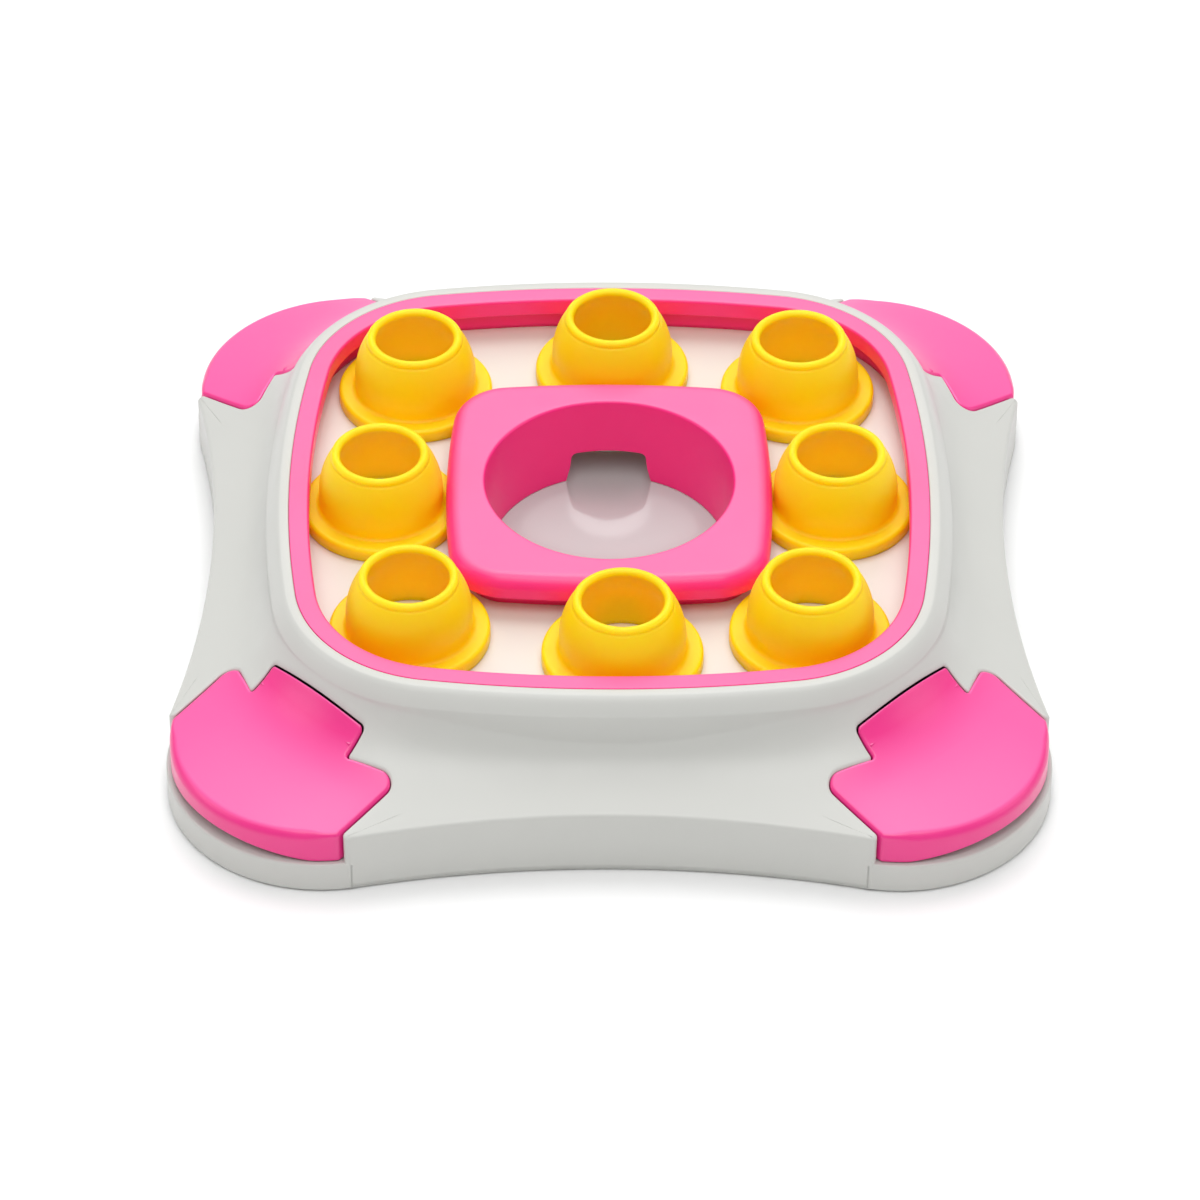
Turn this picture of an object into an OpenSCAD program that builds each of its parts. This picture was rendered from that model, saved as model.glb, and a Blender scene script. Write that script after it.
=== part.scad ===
/* [Base] */
// Overall width and depth over the round corners
overall_w = 273.6; // [264:0.2:284]
// Radius of the round corners of the base
corner_r = 48.8; // [46:0.2:52]
// How far each side curves in at its middle
side_inset = 9.8; // [8:0.2:12]
// Radius of the inward curve along each side
side_arc_r = 389; // [370:1:420]
// Half length of a side, up to the start of the corner rim
side_reach = 76.5; // [74:0.5:80]
// Thickness of the white mouldings' walls
wall = 2.4; // [2:0.1:2.8]
// Height of the corner rim under a lid
rim_h = 11; // [9:0.5:12.5]
// Height of the deck at its outer edge
edge_h = 22.5; // [20:0.5:25]
// Thickness of the bottom plate
plate_t = 2.2; // [2:0.1:3]
// Running gap between the bottom plate and the shell
plate_gap = 0.25; // [0.1:0.05:0.5]
// How far the feet stand out below the bottom plate
foot_out = 0.8; // [0.6:0.1:1.5]
// Radius of a foot
foot_r = 7; // [5:0.5:9]
// Distance of a foot from the mid planes
foot_at = 94; // [88:1:98]

/* [Deck and ring] */
// Straight fall of the deck from the ring to the edge
deck_fall = 8; // [6:0.5:10]
// Extra height where the deck sweeps up to the ring
sweep_h = 10; // [8:0.5:12]
// Share of the deck's width over which the sweep dies away
sweep_s = 0.16; // [0.12:0.01:0.2]
// Half width of the raised ring outside
ring_half = 108.5; // [107:0.5:110]
// Height of the ring above the table
ring_h = 50.7; // [49.7:0.1:52]
// Width of the ring's rounded shoulder
ring_round_w = 6; // [4:0.5:6.5]
// Drop of the ring's rounded shoulder
ring_round_h = 4; // [3:0.5:5]
// Distance beyond the centre from which the ring's sides are struck
bow = 290; // [250:10:400]
// Distance of the ring's corner centres from the mid planes
bend = 50; // [48:0.5:52]

/* [Track] */
// Height of the track floor above the table
floor_h = 37; // [36:0.5:38]
// Thickness of the track floor
floor_t = 2.4; // [2:0.1:3]
// Half width of the track's centre line
track_half = 72.5; // [72.5:0.1:73]
// Sideways play of a cup's flange in the track
track_play = 1.7; // [1.5:0.1:2]
// Width of the pink rim's lip over the track
rim_lip = 5.2; // [4.5:0.1:5.6]
// Thickness of the pink rim's upright wall
rim_wall = 1.8; // [1.5:0.1:2.2]
// Height of the lips' undersides above the track floor
lip_up = 8; // [6.5:0.1:8.5]
// Radius of the drop hole through the track floor
drop_r = 10.5; // [9:0.5:11]
// Gap between pieces that are fixed together
fit_gap = 0.05; // [0.02:0.01:0.1]

/* [Centre block] */
// Height of the block's top above the table
block_h = 51.3; // [50.3:0.1:52]
// Width of the block's lip over the track
block_lip = 5.9; // [5.4:0.1:6]
// Radius of the lip's corners in plan
block_corner = 18; // [17.5:0.5:19]
// Rounding of the block's top edge
block_round = 5; // [3:0.5:5]
// Thickness of the block's walls
block_wall = 2.4; // [2:0.1:2.8]
// Radius of the bowl opening at the top
bowl_top_r = 39.4; // [37:0.2:40]
// Radius of the bowl's wall at its lower end
bowl_low_r = 37.5; // [36:0.1:38.4]
// Height of the wall's lower end above the table
bowl_low_h = 22; // [21:0.5:23]
// Top of the notch above the lower end of the wall
notch_up = 9.3; // [8:0.1:10]
// Half width of the notch at its top
notch_top_w = 10.6; // [10.4:0.1:12]
// Half width of the notch at its foot
notch_low_w = 13.9; // [13.5:0.1:15]
// Depth of the dish below its edge
dish_deep = 8.4; // [6:0.2:9]
// Thickness of the dish
dish_t = 2.2; // [1.8:0.1:2.6]
// Reach of the dish's rim beyond the wall above it
dish_flange = 5.6; // [4.5:0.1:6.5]

/* [Chute] */
// Slope of the chute in degrees
chute_slope = 8.2; // [7:0.1:9]
// Outside half width of the chute
chute_w = 11.6; // [11:0.1:11.6]
// Radius of the chute's curved bottom outside
chute_r = 16; // [15.5:0.1:18]
// Thickness of the chute
chute_t = 1.4; // [1:0.1:1.8]
// Distance from the middle of the bowl to the chute's lip
chute_from = 33.5; // [33:0.5:35]
// Distance that the chute reaches beyond the drop hole's centre
chute_past = 15; // [13:0.5:17]

/* [Cups] */
// Radius of a cup's flange
cup_r = 25; // [24.6:0.1:25]
// Thickness of the flange
flange_t = 4.7; // [4:0.1:5]
// Radius of the cup's dome
dome_r = 19.6; // [19:0.1:19.6]
// Height of the dome's straight part
dome_straight = 10; // [9:0.2:11]
// Radius of the dome's curve in section
dome_curve = 16.7; // [16:0.1:17.2]
// Height of the groove under the rolled lip
groove_h = 20.8; // [20.4:0.1:21]
// Radius of the hole through the top
hole_r = 12.83; // [12.4:0.01:13]
// Thickness of the rolled lip
lip_d = 4.34; // [4:0.02:4.6]
// Thickness of the cup's skin
cup_t = 2.4; // [2:0.1:2.6]
// Running gap under the flange
cup_gap = 0.1; // [0.05:0.05:0.2]
// Hole centres of the middle cups, measured along their side
mid_cup_at = [0.8, 1.2, -0.2, 3.9];
// Turn of each corner cup about the corner of the centre block
corner_cup_turn = [43.5, 47.7, 43.9, 45.1];

/* [Lids] */
// Half width of a lid
lid_half = 37.5; // [36.5:0.5:38]
// Half width of the tongue beside the ring
tongue_half = 20.2; // [19.5:0.1:20.6]
// Flare of the tongue towards the notches beside it
tongue_flare = 1; // [0.6:0.1:1.2]
// Gap between the ring's wall and the tongue
tongue_gap = 2.2; // [2:0.1:2.6]
// Depth of the notches beside the tongue
lid_notch = 6.4; // [6:0.1:6.8]
// Gap round a lid
lid_gap = 0.5; // [0.4:0.1:0.7]
// Thickness of a lid
lid_t = 2.4; // [2:0.1:2.6]
// Depth of the flange along a lid's edges
lid_edge = 4.5; // [3.6:0.1:5]
// How far the lid's front edge stands back from the base rim
lid_back = 1.5; // [1:0.1:2]
// Rise of the nose gap in the middle of the lid's front
nose_gap = 4.5; // [3:0.5:5]
// Distance of the hinge behind the tongue's edge
hinge_back = 1.6; // [1.4:0.1:1.8]
// Depth of the hinge below the tongue's top
hinge_drop = 8.4; // [8.2:0.1:8.8]
// Radius of a hinge pin
pin_r = 1; // [0.8:0.05:1.1]
// Running gap between a hinge pin and the lid
pin_gap = 0.05; // [0.03:0.01:0.1]
// Length of a hinge pin
pin_len = 9.8; // [9:0.1:10]
// Height of the treat wells' walls above the table
well_h = 19; // [15:0.5:19.5]

/* [Screws] */
// Radius of a screw's shank
screw_r = 1.4; // [1.2:0.05:1.5]
// Radius of a screw's head
head_r = 3; // [2.6:0.1:3.2]
// Thickness of a screw's head
head_t = 1.2; // [1:0.1:1.4]

/* [Hidden] */
$fn = 96;
e = 0.01;
q2 = sqrt(2);

// The base's outline.
corner_c = overall_w / 2 - corner_r;
corner_d = corner_c * q2;
mid_half = overall_w / 2 - side_inset;
side_c = mid_half + side_arc_r;

// Heights.
plate_z = foot_out;
plate_top = plate_z + plate_t;
floor_low = floor_h - floor_t;
lip_z = floor_h + lip_up;
lid_low = rim_h + 0.3;

// The ring and the rim follow one line: four shallow side arcs and four corner arcs.
// A width u on that line has the radius u + bow on a side and u - bend_k in a corner.
bend_k = sqrt(pow(bend + bow, 2) + bend * bend) - bow;
bend_a = atan2(bend, bend + bow);
rim_in = track_half + cup_r + track_play;
rim_half = rim_in + rim_wall;
lip_half = rim_in - rim_lip;
ring_in = rim_half + fit_gap;
ring_d = bend * q2 + ring_half - bend_k;

// The centre block.
block_in = track_half - cup_r - track_play;
block_half = block_in + block_lip;
block_c = block_half - block_corner;

// The cups' places: the middle cups touch neither lip, and the corner cups go round the block.
cup_clear = 0.4;
mid_in = block_half + dome_r + cup_clear;
corner_cup_out = 38.4;

// The lids, in a frame whose X axis runs out along the diagonal.
tongue_d = ring_d + tongue_gap;
notch_d = tongue_d + lid_notch;
ear_d = tongue_d - 0.5;
lid_r = corner_r - lid_back;
hinge_d = tongue_d + hinge_back;
hinge_z = deck_z(deck_s(tongue_d, 0)) - hinge_drop;
boss_r = pin_r + 0.9;
tongue_out = tongue_half + tongue_flare + 0.5;
boss_end = tongue_out + 3.1;
pin_from = boss_end - 0.2 - pin_len;
well_half = lid_half - lid_t - 0.6;

// Screws.
shell_screw_at = 116;
post_at = 60;
post_r = 4.2;
block_screw_at = block_c + 0.5;
head_play = 0.25;

// Radius of the ring's line of half width u, at the polar angle a measured from a side's middle.
function side_rad(u, a) = -bow * cos(a) + sqrt(pow(u + bow, 2) - pow(bow * sin(a), 2));
function bend_rad(u, a) = bend * q2 * cos(45 - a) + sqrt(pow(u - bend_k, 2) - pow(bend * q2 * sin(45 - a), 2));
function on_side(u, a) = atan2(side_rad(u, a) * sin(a), side_rad(u, a) * cos(a) + bow) <= bend_a;
function ring_rad(u, a) = on_side(u, a) ? side_rad(u, a) : bend_rad(u, a);

// Radius of the base's outline, drawn in by the inset i, at the polar angle a.
function arc_rad(a, i) = side_c * cos(a) - sqrt(pow(side_arc_r + i, 2) - pow(side_c * sin(a), 2));
function corner_rad(a, i) = corner_d * cos(45 - a) + sqrt(pow(corner_r - i, 2) - pow(corner_d * sin(45 - a), 2));
function edge_rad(a, i = 0) = a < 26 ? arc_rad(a, i) : min(arc_rad(a, i), corner_rad(a, i));

// The polar angle folded into 0 to 45 degrees.
function fold(a) = abs(((a + 45) % 90) - 45);

// Height of the deck at the share s of the way from the ring to the outline.
function deck_z(s) = edge_h + deck_fall * (1 - s) + sweep_h * exp(-s / sweep_s);
function deck_rad(a, s) = ring_rad(ring_half, fold(a)) * (1 - s) + edge_rad(fold(a)) * s;
// The share s of a point d along the diagonal and t beside it.
function deck_s(d, t) = let (a = 45 - abs(atan2(t, d)), r0 = ring_rad(ring_half, a), r1 = edge_rad(a))
    (norm([d, t]) - r0) / (r1 - r0);
function polar(r, a, z) = [r * cos(a), r * sin(a), z];

// Sweeps a section, drawn with X as the half width u, round the ring's line.
module sweep() {
    for (q = [0:3]) rotate(90 * q) {
        translate([-bow, 0, 0]) rotate(-bend_a) rotate_extrude(angle = 2 * bend_a, $fn = 720)
            translate([bow, 0]) children();
        translate([bend, bend, 0]) rotate(bend_a) rotate_extrude(angle = 90 - 2 * bend_a)
            translate([-bend_k, 0]) children();
    }
}

// Small tenons inside the wall of a swept ring, which tie its arcs into one piece.
module sweep_ties(u0, u1, z0, z1) {
    for (q = [0:3], m = [-1, 1]) rotate(90 * q) translate([-bow, 0, 0]) rotate(m * bend_a)
        translate([bow + u0, -0.4, z0]) cube([u1 - u0, 0.8, z1 - z0]);
}

// A flat plate of the half width u on the ring's line.
module ring_plate(u, z, t) {
    core = bend_k + 9;
    sweep() translate([core - 1, z]) square([u - core + 1, t]);
    translate([-core, -core, z]) cube([2 * core, 2 * core, t]);
}

// Sweeps a section round a square with round corners centred c from the mid planes.
module square_sweep(c) {
    for (q = [0:3]) rotate(90 * q) {
        translate([0, c, 0]) rotate([90, 0, 0]) linear_extrude(2 * c) children();
        translate([c, c, 0]) rotate_extrude(angle = 90) translate([-c, 0]) children();
    }
}

// The base's outline in plan, drawn in by the inset i.
module base_plan(i) {
    difference() {
        union() {
            square([2 * side_reach, 2 * overall_w], center = true);
            square([2 * overall_w, 2 * side_reach], center = true);
        }
        for (q = [0:3]) rotate(90 * q) translate([side_c, 0]) circle(side_arc_r + i, $fn = 360);
    }
    for (q = [0:3]) rotate(90 * q) translate([corner_c, corner_c]) circle(corner_r - i);
}

// Puts what follows at corner q, with X out along the diagonal.
module at_corner(q) {
    rotate(45 + 90 * q) children();
}

// The deck and the side walls as one skin of sections that stand round the ring.
module deck() {
    steps = [-0.03, 0.03, 0.08, 0.14, 0.22, 0.34, 0.5, 0.75, 1];
    under = [0.6, 0.25];
    count = 144;
    rows = len(steps) + len(under) + 5;
    points = [for (k = [0:count - 1]) let (a = 360 * k / count, f = fold(a),
            r_in = ring_rad(ring_half - wall + 0.3, f), r1 = edge_rad(f))
        each concat(
            [polar(r_in, a, deck_z(-0.03))],
            [for (s = steps) polar(deck_rad(a, s), a, deck_z(s))],
            [polar(r1, a, plate_z), polar(r1 - wall, a, plate_z), polar(r1 - wall, a, deck_z(1) - wall)],
            [for (s = under) polar(deck_rad(a, s), a, deck_z(s) - wall - 0.3)],
            [polar(r_in, a, deck_z(0.04) - wall)])];
    faces = [for (k = [0:count - 1], j = [0:rows - 1])
        let (a = k * rows + j, b = k * rows + (j + 1) % rows,
            c = ((k + 1) % count) * rows + (j + 1) % rows, d = ((k + 1) % count) * rows + j)
        each [[a, c, b], [a, d, c]]];
    polyhedron(points, faces, convexity = 8);
}

// The shape of a lid in plan, grown by g all round, with its front left open to cut the shell.
module lid_plan(g, front) {
    difference() {
        offset(r = 1) offset(delta = -1) offset(r = -0.8) offset(delta = 0.8 + g) polygon([
            [tongue_d - 1.7, tongue_half], [notch_d, tongue_half + tongue_flare], [ear_d, lid_half], [front, lid_half],
            [front, -lid_half], [ear_d, -lid_half], [notch_d, -tongue_half - tongue_flare], [tongue_d - 1.7, -tongue_half]]);
        translate([tongue_d - 120, 0]) circle(120 - g, $fn = 360);
    }
}

// The solid under the deck at a corner, lowered by drop, with X out along the diagonal.
module under_deck(drop) {
    rows = [-0.03, 0.02, 0.06, 0.1, 0.15, 0.22, 0.31, 0.44, 0.62, 0.82, 1.04];
    n = len(rows);
    span = 18;
    cols = 18;
    top = [for (k = [0:cols], s = rows) let (a = -span + 2 * span * k / cols)
        polar(deck_rad(45 + a, s), a, deck_z(s) - drop)];
    low = [for (k = [0:cols], s = [rows[0], rows[n - 1]]) let (a = -span + 2 * span * k / cols)
        polar(deck_rad(45 + a, s), a, 0)];
    m = len(top);
    faces = concat(
        [for (k = [0:cols - 1], j = [0:n - 2]) let (a = k * n + j, b = a + n)
            each [[a, b, b + 1], [a, b + 1, a + 1]]],
        [for (k = [0:cols - 1]) let (a = m + 2 * k) each [[a, a + 1, a + 3], [a, a + 3, a + 2]]],
        [for (k = [0:cols - 1]) let (a = k * n, b = a + n, c = m + 2 * k) each [[a, c, c + 2], [a, c + 2, b]]],
        [for (k = [0:cols - 1]) let (a = k * n + n - 1, b = a + n, c = m + 2 * k + 1) each [[a, c + 2, c], [a, b, c + 2]]],
        [concat([m], [for (j = [0:n - 1]) j], [m + 1])],
        [concat([m + 2 * cols, m + 2 * cols + 1], [for (j = [n - 1:-1:0]) cols * n + j])]);
    polyhedron(points = concat(top, low), faces = faces, convexity = 6);
}

// A bar along the hinge, with its ends at the offsets y0 and y1 beside the diagonal.
module on_hinge(y0, y1, r) {
    translate([hinge_d, y0, hinge_z]) rotate([-90, 0, 0]) cylinder(r = r, h = y1 - y0);
}

// The room that the tongue sweeps through as its lid opens.
module tongue_room() {
    function reach(t) = let (d = tongue_d - t * t / 240)
        norm([d - hinge_d, deck_z(deck_s(d, t)) - hinge_z]) + 0.3;
    half = tongue_half + tongue_flare;
    translate([hinge_d, 0, hinge_z]) rotate([-90, 0, 0]) rotate_extrude()
        polygon([[0, -half], [reach(half), -half], [reach(half / 2), -half / 2], [reach(0), 0],
            [reach(half / 2), half / 2], [reach(half), half], [0, half]]);
}

// The ring's hollow section: a rounded shoulder outside and a ledge under the track floor.
module ring_section() {
    shoulder = [for (a = [0:15:90]) [ring_half - ring_round_w + ring_round_w * sin(a),
        ring_h - ring_round_h + ring_round_h * cos(a)]];
    polygon(concat(
        [[ring_in - 4, floor_low - fit_gap], [ring_in, floor_low - fit_gap], [ring_in, ring_h]],
        shoulder,
        [[ring_half, deck_z(0.1) - wall], [ring_half - wall, deck_z(0.1) - wall],
            [ring_half - wall, ring_h - ring_round_h - 0.6],
            [ring_half - ring_round_w, ring_h - wall], [ring_in + 2, ring_h - wall],
            [ring_in + 2, floor_low - wall], [ring_in - 4, floor_low - wall]]));
}

module body_shell() {
    color("whitesmoke") {
        difference() {
            union() {
                difference() {
                    union() {
                        sweep() ring_section();
                        sweep_ties(ring_in + 0.4, ring_in + 1.6, floor_low - wall + 0.4, ring_h - 0.4);
                        deck();
                    }
                    for (q = [0:3]) at_corner(q) {
                        translate([0, 0, -1]) linear_extrude(overall_w) lid_plan(lid_gap, overall_w);
                        tongue_room();
                    }
                }
                for (q = [0:3]) rotate(90 * q) translate([shell_screw_at, 0, plate_top])
                    cylinder(r = post_r, h = deck_z(0.5) - wall + 0.6 - plate_top);
                for (q = [0:3], m = [0, 1]) at_corner(q) mirror([0, m, 0])
                    on_hinge(tongue_out, boss_end, boss_r);
            }
            for (q = [0:3]) rotate(90 * q) translate([shell_screw_at, 0, plate_top - e])
                cylinder(r = screw_r + fit_gap / 2, h = 10);
            for (q = [0:3], m = [0, 1]) at_corner(q) mirror([0, m, 0])
                on_hinge(tongue_out - 1, boss_end + 1, pin_r + fit_gap / 5);
        }
        for (q = [0:3]) rotate(90 * q) corner_rim();
    }
}

// The low rim that closes the base round a corner.
module corner_rim() {
    translate([0, 0, plate_z]) linear_extrude(rim_h - plate_z) intersection() {
        translate([corner_c, corner_c]) difference() {
            circle(corner_r);
            circle(corner_r - wall);
        }
        translate([side_reach, side_reach]) square(overall_w);
    }
}

// Plan of a treat well, drawn in by the inset i.
module well_plan(i) {
    intersection() {
        translate([ring_d - 4 + i, -well_half + i]) square([60, 2 * (well_half - i)]);
        translate([corner_d, 0]) circle(lid_r - lid_t - 1.4 - i);
    }
}

module base_plate() {
    color("whitesmoke") difference() {
        union() {
            translate([0, 0, plate_z]) linear_extrude(plate_t) base_plan(wall + plate_gap);
            for (q = [0:3]) at_corner(q) translate([0, 0, plate_top - e]) linear_extrude(well_h - plate_top + e)
                difference() {
                    well_plan(0);
                    well_plan(1.6);
                }
        }
        screw_places() {
            translate([0, 0, plate_z - e]) cylinder(r = head_r + head_play, h = head_t + 0.1 + e);
            translate([0, 0, plate_z]) cylinder(r = screw_r + 0.2, h = plate_t + e);
        }
        foot_places() translate([0, 0, plate_z - e]) cylinder(r = foot_r + fit_gap, h = 0.8 + e);
    }
}

module foot_places() {
    for (q = [0:3]) rotate(90 * q) translate([foot_at, foot_at, 0]) children();
}

module screw_places() {
    for (q = [0:3]) rotate(90 * q) {
        translate([shell_screw_at, 0, 0]) children();
        translate([post_at, post_at, 0]) children();
    }
}

module feet() {
    color("dimgray") foot_places() {
        cylinder(r = foot_r, h = foot_out + 0.8 - fit_gap);
    }
}

// A screw that points up, with its head's underside at the height z.
module screw(z, length) {
    translate([0, 0, z]) difference() {
        union() {
            translate([0, 0, -head_t]) cylinder(r = head_r, h = head_t);
            cylinder(r = screw_r, h = length);
        }
        for (a = [0, 90]) rotate(a) translate([-head_r * 0.6, -0.4, -head_t - e]) cube([head_r * 1.2, 0.8, 0.7]);
    }
}

module base_screws() {
    color("silver") screw_places() screw(plate_z + head_t + 0.1, 9);
}

module track_floor() {
    color("whitesmoke") difference() {
        union() {
            ring_plate(ring_in - fit_gap, floor_low, floor_t);
            for (q = [0:3]) rotate(90 * q) translate([post_at, post_at, plate_top])
                cylinder(r = post_r, h = floor_low - plate_top + e);
        }
        translate([0, 0, floor_low - e]) cylinder(r = bowl_wall_r(floor_low) + fit_gap, h = floor_t + 2 * e);
        translate([0, track_half, floor_low - e]) cylinder(r = drop_r, h = floor_t + 2 * e);
        for (q = [0:3]) rotate(90 * q) {
            translate([post_at, post_at, plate_top - e]) cylinder(r = screw_r + fit_gap / 2, h = 10);
            translate([block_screw_at, block_screw_at, floor_low - e]) cylinder(r = screw_r + 0.2, h = floor_t + 2 * e);
        }
    }
}

module rim_trim() {
    color("hotpink") {
        sweep() polygon([
            [rim_in, floor_h], [rim_half, floor_h], [rim_half, ring_h], [lip_half + 1, ring_h],
            [lip_half + 0.3, ring_h - 0.3], [lip_half, ring_h - 1], [lip_half, lip_z], [rim_in, lip_z]]);
        sweep_ties(rim_in + 0.4, rim_half - 0.4, floor_h + 0.4, ring_h - 0.4);
    }
}

// Outside radius of the bowl's wall where it passes down through the track floor.
function bowl_wall_r(z) = bowl_top_r + block_wall - (bowl_top_r - bowl_low_r) * (block_h - z) / (block_h - bowl_low_h) + 0.4;

module centre_block() {
    straight = bowl_wall_r(floor_low);
    color("hotpink") difference() {
        union() {
            square_sweep(block_c) block_section();
            translate([0, 0, block_h - block_wall]) linear_extrude(block_wall) square(2 * block_c + 2, center = true);
            rotate_extrude() polygon([[bowl_low_r, bowl_low_h], [bowl_low_r + block_wall, bowl_low_h],
                [straight, floor_low - 1], [straight, block_h - block_wall / 2], [bowl_top_r - 1, block_h - block_wall / 2]]);
            for (q = [0:3]) rotate(90 * q) translate([block_screw_at, block_screw_at, floor_h + fit_gap])
                cylinder(r = post_r, h = block_h - block_wall / 2 - floor_h);
        }
        rotate_extrude() polygon([[0, bowl_low_h - 1], [bowl_low_r, bowl_low_h - 1], [bowl_low_r, bowl_low_h],
            [bowl_top_r, block_h - 1], [bowl_top_r + 1, block_h], [bowl_top_r + 1, block_h + 1], [0, block_h + 1]]);
        rotate([-90, 0, 0]) linear_extrude(overall_w / 4) polygon([
            [-notch_low_w, -bowl_low_h + e], [-notch_top_w - 0.3, -bowl_low_h - notch_up + 1.2],
            [-notch_top_w + 1.2, -bowl_low_h - notch_up], [notch_top_w - 1.2, -bowl_low_h - notch_up],
            [notch_top_w + 0.3, -bowl_low_h - notch_up + 1.2], [notch_low_w, -bowl_low_h + e]]);
        for (q = [0:3]) rotate(90 * q) translate([block_screw_at, block_screw_at, floor_h])
            cylinder(r = screw_r + fit_gap / 2, h = 8);
    }
}

// The block's hollow edge: a rounded shoulder, a lip over the track and a skirt down to the floor.
module block_section() {
    shoulder = [for (a = [0:15:90]) [block_half - block_round + block_round * sin(a),
        block_h - block_round + block_round * cos(a)]];
    polygon(concat(
        [[block_c, block_h]], shoulder,
        [[block_half, lip_z + 0.6], [block_half - 0.6, lip_z], [block_in, lip_z],
            [block_in, floor_h], [block_in - block_wall, floor_h],
            [block_in - block_wall, block_h - block_wall], [block_c, block_h - block_wall]]));
}

module block_screws() {
    color("silver") for (q = [0:3]) rotate(90 * q) translate([block_screw_at, block_screw_at, 0])
        screw(floor_low, 8);
}

module bowl_dish() {
    // The dish is a shallow cap of the sphere that its width and depth give.
    edge = bowl_low_r - 0.2;
    top = bowl_low_h - fit_gap;
    r = (edge * edge + dish_deep * dish_deep) / (2 * dish_deep);
    centre = top - dish_deep + r;
    color("white") rotate_extrude() difference() {
        union() {
            intersection() {
                translate([0, centre]) circle(r + dish_t, $fn = 360);
                translate([0, top - dish_deep - dish_t - 1]) square([edge + 1, dish_deep + dish_t + 1]);
            }
            translate([edge - 1.5, top - dish_t]) square([dish_flange + 1.5, dish_t]);
            translate([edge + 2.5, plate_top + fit_gap]) square([2, top - plate_top - 1]);
        }
        translate([0, centre]) circle(r, $fn = 360);
    }
}

// The chute's section, with its bottom at the origin and drawn in by the inset i.
module chute_section(i) {
    intersection() {
        union() {
            translate([0, chute_r]) circle(chute_r - i);
            translate([-chute_w + i, chute_r * 0.5]) square([2 * (chute_w - i), 20]);
        }
        translate([-chute_w + i, 0]) square([2 * (chute_w - i), 20]);
    }
}

module treat_chute() {
    low_at = bowl_low_r + block_wall;
    length = track_half + chute_past - chute_from;
    color("white") intersection() {
        translate([0, low_at, bowl_low_h + 0.3]) rotate([90 - chute_slope, 0, 180]) translate([0, 0, chute_from - low_at])
            difference() {
                linear_extrude(length) chute_section(0);
                translate([0, 0, -1]) linear_extrude(length + 1 - chute_t) chute_section(chute_t);
            }
        union() {
            translate([-30, low_at + 4, 0]) cube([60, overall_w, floor_low - 0.1]);
            translate([-30, 0, 0]) cube([60, overall_w, bowl_low_h + 5.2]);
        }
    }
}

module hinge_pins() {
    color("silver") for (q = [0:3], m = [0, 1]) at_corner(q) mirror([0, m, 0])
        on_hinge(pin_from, pin_from + pin_len, pin_r);
}

// A cup: a round flange, a dome with a groove, and a rolled lip round the hole.
module cup() {
    lip_c = hole_r + lip_d / 2;
    lip_at = groove_h + lip_d / 2 - 0.2;
    dome_in = dome_r - dome_curve;
    color("gold") rotate_extrude() difference() {
        union() {
            square([cup_r - 1.3, flange_t]);
            square([cup_r, flange_t - 1.3]);
            translate([cup_r - 1.3, flange_t - 1.3]) circle(1.3);
            square([dome_r, dome_straight]);
            intersection() {
                translate([dome_in, dome_straight]) circle(dome_curve);
                translate([0, dome_straight - 1]) square([dome_r, groove_h - dome_straight + 1]);
            }
            translate([lip_c, lip_at]) circle(lip_d / 2);
        }
        square([dome_r - cup_t, dome_straight]);
        intersection() {
            translate([dome_in, dome_straight]) circle(dome_curve - cup_t);
            square([dome_r, groove_h - 1.8]);
        }
        square([hole_r, 2 * groove_h]);
    }
}

module mid_cup(q) {
    rotate(90 * q) translate([mid_in + [0.2, 0, 0.7, 0][q], [1, -1, -1, 1][q] * mid_cup_at[q], floor_h + cup_gap]) cup();
}

module corner_cup(q) {
    rotate(90 * q) translate([block_c, block_c, 0]) rotate(corner_cup_turn[q])
        translate([corner_cup_out + [0.1, 1.2, 0.7, 1.4][q], 0, floor_h + cup_gap]) cup();
}

// A lid: a shell that carries the deck on over its well, with two lugs on the hinge.
module lid(q) {
    color("hotpink") at_corner(q) difference() {
        union() {
            difference() {
                intersection() {
                    translate([0, 0, lid_low]) linear_extrude(overall_w) difference() {
                        lid_plan(0, overall_w);
                        difference() {
                            translate([corner_d, -overall_w]) square(2 * overall_w);
                            translate([corner_d, 0]) circle(lid_r);
                        }
                    }
                    under_deck(0);
                }
                intersection() {
                    translate([0, 0, lid_low - 1]) linear_extrude(overall_w) intersection() {
                        offset(delta = -lid_t) lid_plan(0, overall_w);
                        behind_front();
                    }
                    under_deck(lid_t);
                }
                intersection() {
                    translate([0, 0, lid_low - 1]) linear_extrude(overall_w) behind_front();
                    under_deck(lid_edge);
                }
                nose();
            }
            for (m = [0, 1]) mirror([0, m, 0]) lug();
        }
        for (m = [0, 1]) mirror([0, m, 0]) on_hinge(pin_from - 2, tongue_half + 2, pin_r + pin_gap);
    }
}

// The plan of all that lies behind a lid's front wall.
module behind_front() {
    translate([corner_d, 0]) circle(lid_r - lid_t);
    translate([ear_d - 10, -lid_half - 5]) square([corner_d - ear_d + 10, 2 * lid_half + 10]);
}

// The arched gap under a lid's front edge, for a nose or a finger.
module nose() {
    half = lid_half - 6;
    r = (half * half + nose_gap * nose_gap) / (2 * nose_gap);
    translate([corner_d, 0, lid_low + nose_gap - r]) rotate([0, 90, 0]) cylinder(r = r, h = 80, $fn = 180);
}

// One lug of a lid, which is bored for its hinge pin.
module lug() {
    y0 = pin_from - 1;
    y1 = tongue_half - 0.2;
    up = deck_z(deck_s(hinge_d, y1)) - hinge_z - lid_t / 2;
    on_hinge(y0, y1, boss_r + 0.7);
    translate([hinge_d - 1.2, y0, hinge_z]) cube([boss_r + 1.9, y1 - y0, up]);
}

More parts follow.
